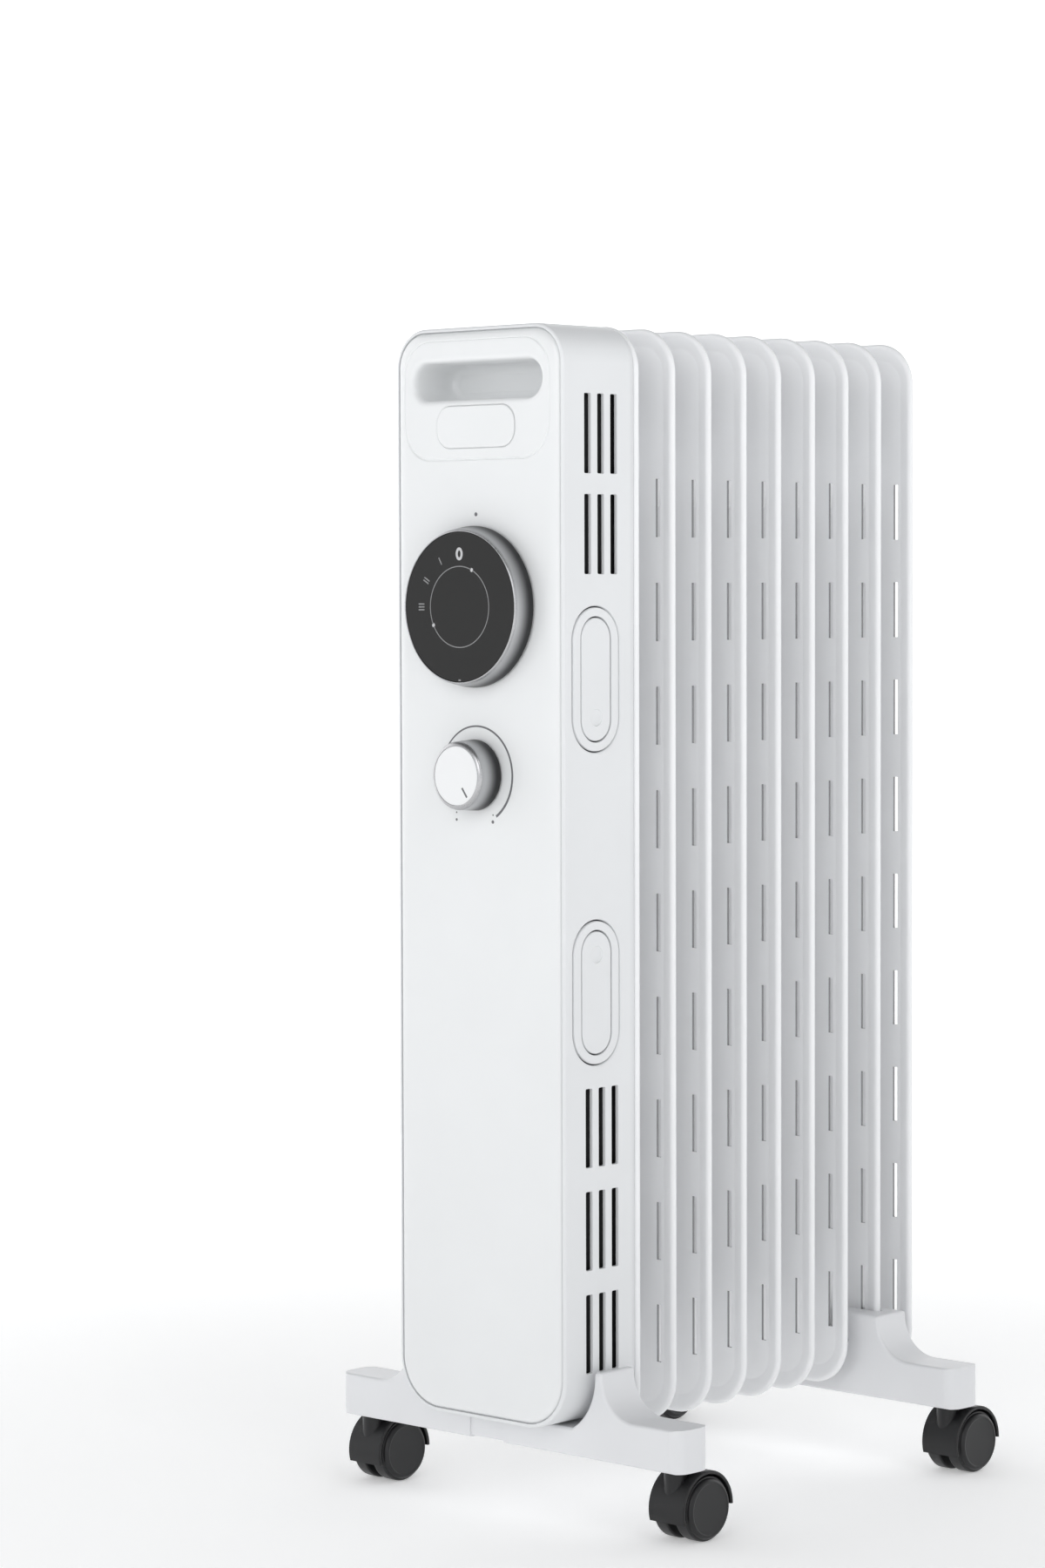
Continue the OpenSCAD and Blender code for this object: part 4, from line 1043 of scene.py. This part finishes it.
def studio_material():
    """White paper that glows more away from the heater, so no edge of the floor shows."""
    mat = coating("studio_white", FLOOR_WHITE, 0.8, 30.0, 0.0, 0.004, specular=0.1)
    nodes, links = mat.node_tree.nodes, mat.node_tree.links
    shader = nodes["Principled BSDF"]
    shader.inputs["Emission Color"].default_value = (1.0, 1.0, 1.0, 1.0)
    place = nodes.new("ShaderNodeTexCoord")
    reach = nodes.new("ShaderNodeVectorMath")
    reach.operation = "LENGTH"
    links.new(place.outputs["Object"], reach.inputs[0])
    fade = nodes.new("ShaderNodeMapRange")
    fade.interpolation_type = "SMOOTHSTEP"
    fade.inputs["From Min"].default_value = 0.1
    fade.inputs["From Max"].default_value = 1.5
    fade.inputs["To Min"].default_value = FLOOR_GLOW
    fade.inputs["To Max"].default_value = BACKDROP_GLOW
    links.new(reach.outputs["Value"], fade.inputs["Value"])
    links.new(fade.outputs["Result"], shader.inputs["Emission Strength"])
    return mat


def arc_on_floor(r, start, end, steps, z=0.0):
    """A level arc round the heater's middle."""
    return [(x, y - FACE_Y / MM, z) for x, y in arc(0.0, 0.0, r, start, end, steps)]


def build_stage():
    """A white floor that sweeps up into a lit backdrop behind the heater."""
    wall_steps, floor_steps = 64, 96
    sweep_r = WALL_R - FLOOR_R
    profile = [(FLOOR_R, 0.0)]
    profile += [(FLOOR_R + sweep_r * sin(radians(a)), sweep_r * (1 - cos(radians(a))))
                for a in range(10, 91, 10)]
    profile += [(WALL_R, WALL_H)]
    middle = 90.0 + CAMERA_AZIMUTH
    paper = studio_material()
    wall = Shell()
    wall.bands([wall.ring(arc_on_floor(r, middle - HALF_SWEEP, middle + HALF_SWEEP, wall_steps, z))
                for r, z in profile], closed=False)
    floor = Shell()
    floor.bands([floor.ring(arc_on_floor(r, 0.0, 360.0, floor_steps))
                 for r in (20.0, 900.0, 2000.0, FLOOR_R)], closed=False)
    floor.web(list(range(floor_steps)))
    backdrop = solid_object("studio_backdrop", wall)
    ground = solid_object("studio_floor", floor)
    for obj in (backdrop, ground):
        obj.data.materials.append(paper)
        obj.data.shade_smooth()


def area_light(name, place, target, size, power):
    """A rectangular lamp in metres and watts, turned towards a target."""
    data = bpy.data.lights.new(name, "AREA")
    data.shape = "RECTANGLE"
    data.size, data.size_y = size
    data.energy = power
    lamp = bpy.data.objects.new(name, data)
    lamp.location = place
    lamp.rotation_euler = (Vector(target) - Vector(place)).to_track_quat("-Z", "Y").to_euler()
    bpy.context.scene.collection.objects.link(lamp)


def build_room():
    """Surroundings that are pale at eye level and dim towards the ceiling."""
    world = bpy.data.worlds.new("studio")
    world.use_nodes = True
    nodes, links = world.node_tree.nodes, world.node_tree.links
    background = nodes["Background"]
    background.inputs["Color"].default_value = (0.97, 0.985, 1.0, 1.0)
    place = nodes.new("ShaderNodeTexCoord")
    apart = nodes.new("ShaderNodeSeparateXYZ")
    links.new(place.outputs["Generated"], apart.inputs["Vector"])
    fade = nodes.new("ShaderNodeMapRange")
    fade.interpolation_type = "SMOOTHSTEP"
    fade.inputs["From Min"].default_value = 0.15
    fade.inputs["From Max"].default_value = 0.85
    fade.inputs["To Min"].default_value = ROOM_GLOW
    fade.inputs["To Max"].default_value = CEILING_GLOW
    links.new(apart.outputs["Z"], fade.inputs["Value"])
    links.new(fade.outputs["Result"], background.inputs["Strength"])
    bpy.context.scene.world = world


def build_light():
    """A large key light to the left of the camera and a smaller one high on the right."""
    target = (0.0, 0.0, 0.35)
    area_light("key", (0.9, -2.5, 1.5), target, size=(1.4, 1.6), power=11.5)
    area_light("side", (2.1, -0.9, 2.2), target, size=(0.9, 0.9), power=6.0)
    settings = bpy.context.scene.view_settings
    settings.view_transform = "Standard"
    settings.look = "None"


def build_camera():
    """The photograph's view: azimuth from +Y, tilt down and a slight roll."""
    azimuth, tilt, roll = radians(CAMERA_AZIMUTH), radians(2.68), radians(-0.17)
    place = Vector((1.5039, FACE_Y - 1.5723, 0.4890))
    forward = Vector((-sin(azimuth) * cos(tilt), cos(azimuth) * cos(tilt), -sin(tilt)))
    level = Vector((cos(azimuth), sin(azimuth), 0.0))
    upright = level.cross(forward)
    right = cos(roll) * level + sin(roll) * upright
    up = cos(roll) * upright - sin(roll) * level
    data = bpy.data.cameras.new("camera")
    data.sensor_width = 36.0
    data.lens = 95.96
    data.clip_end = 50.0
    camera = bpy.data.objects.new("camera", data)
    turn = Matrix((right, up, -forward)).transposed().to_4x4()
    camera.matrix_world = Matrix.Translation(place) @ turn
    bpy.context.scene.collection.objects.link(camera)
    bpy.context.scene.camera = camera


build_camera()
build_fins()
build_end_caps()
build_housing()
build_vent_shade_sheets()
build_panel()
build_badge()
build_heat_dial()
build_thermostat_dial()
build_panel_print()
build_hooks()
build_cups()
build_bush()
build_feet()
for corner in ("front_right", "front_left", "rear_right", "rear_left"):
    build_castor(corner)
finish_cad_parts()
build_stage()
build_room()
build_light()
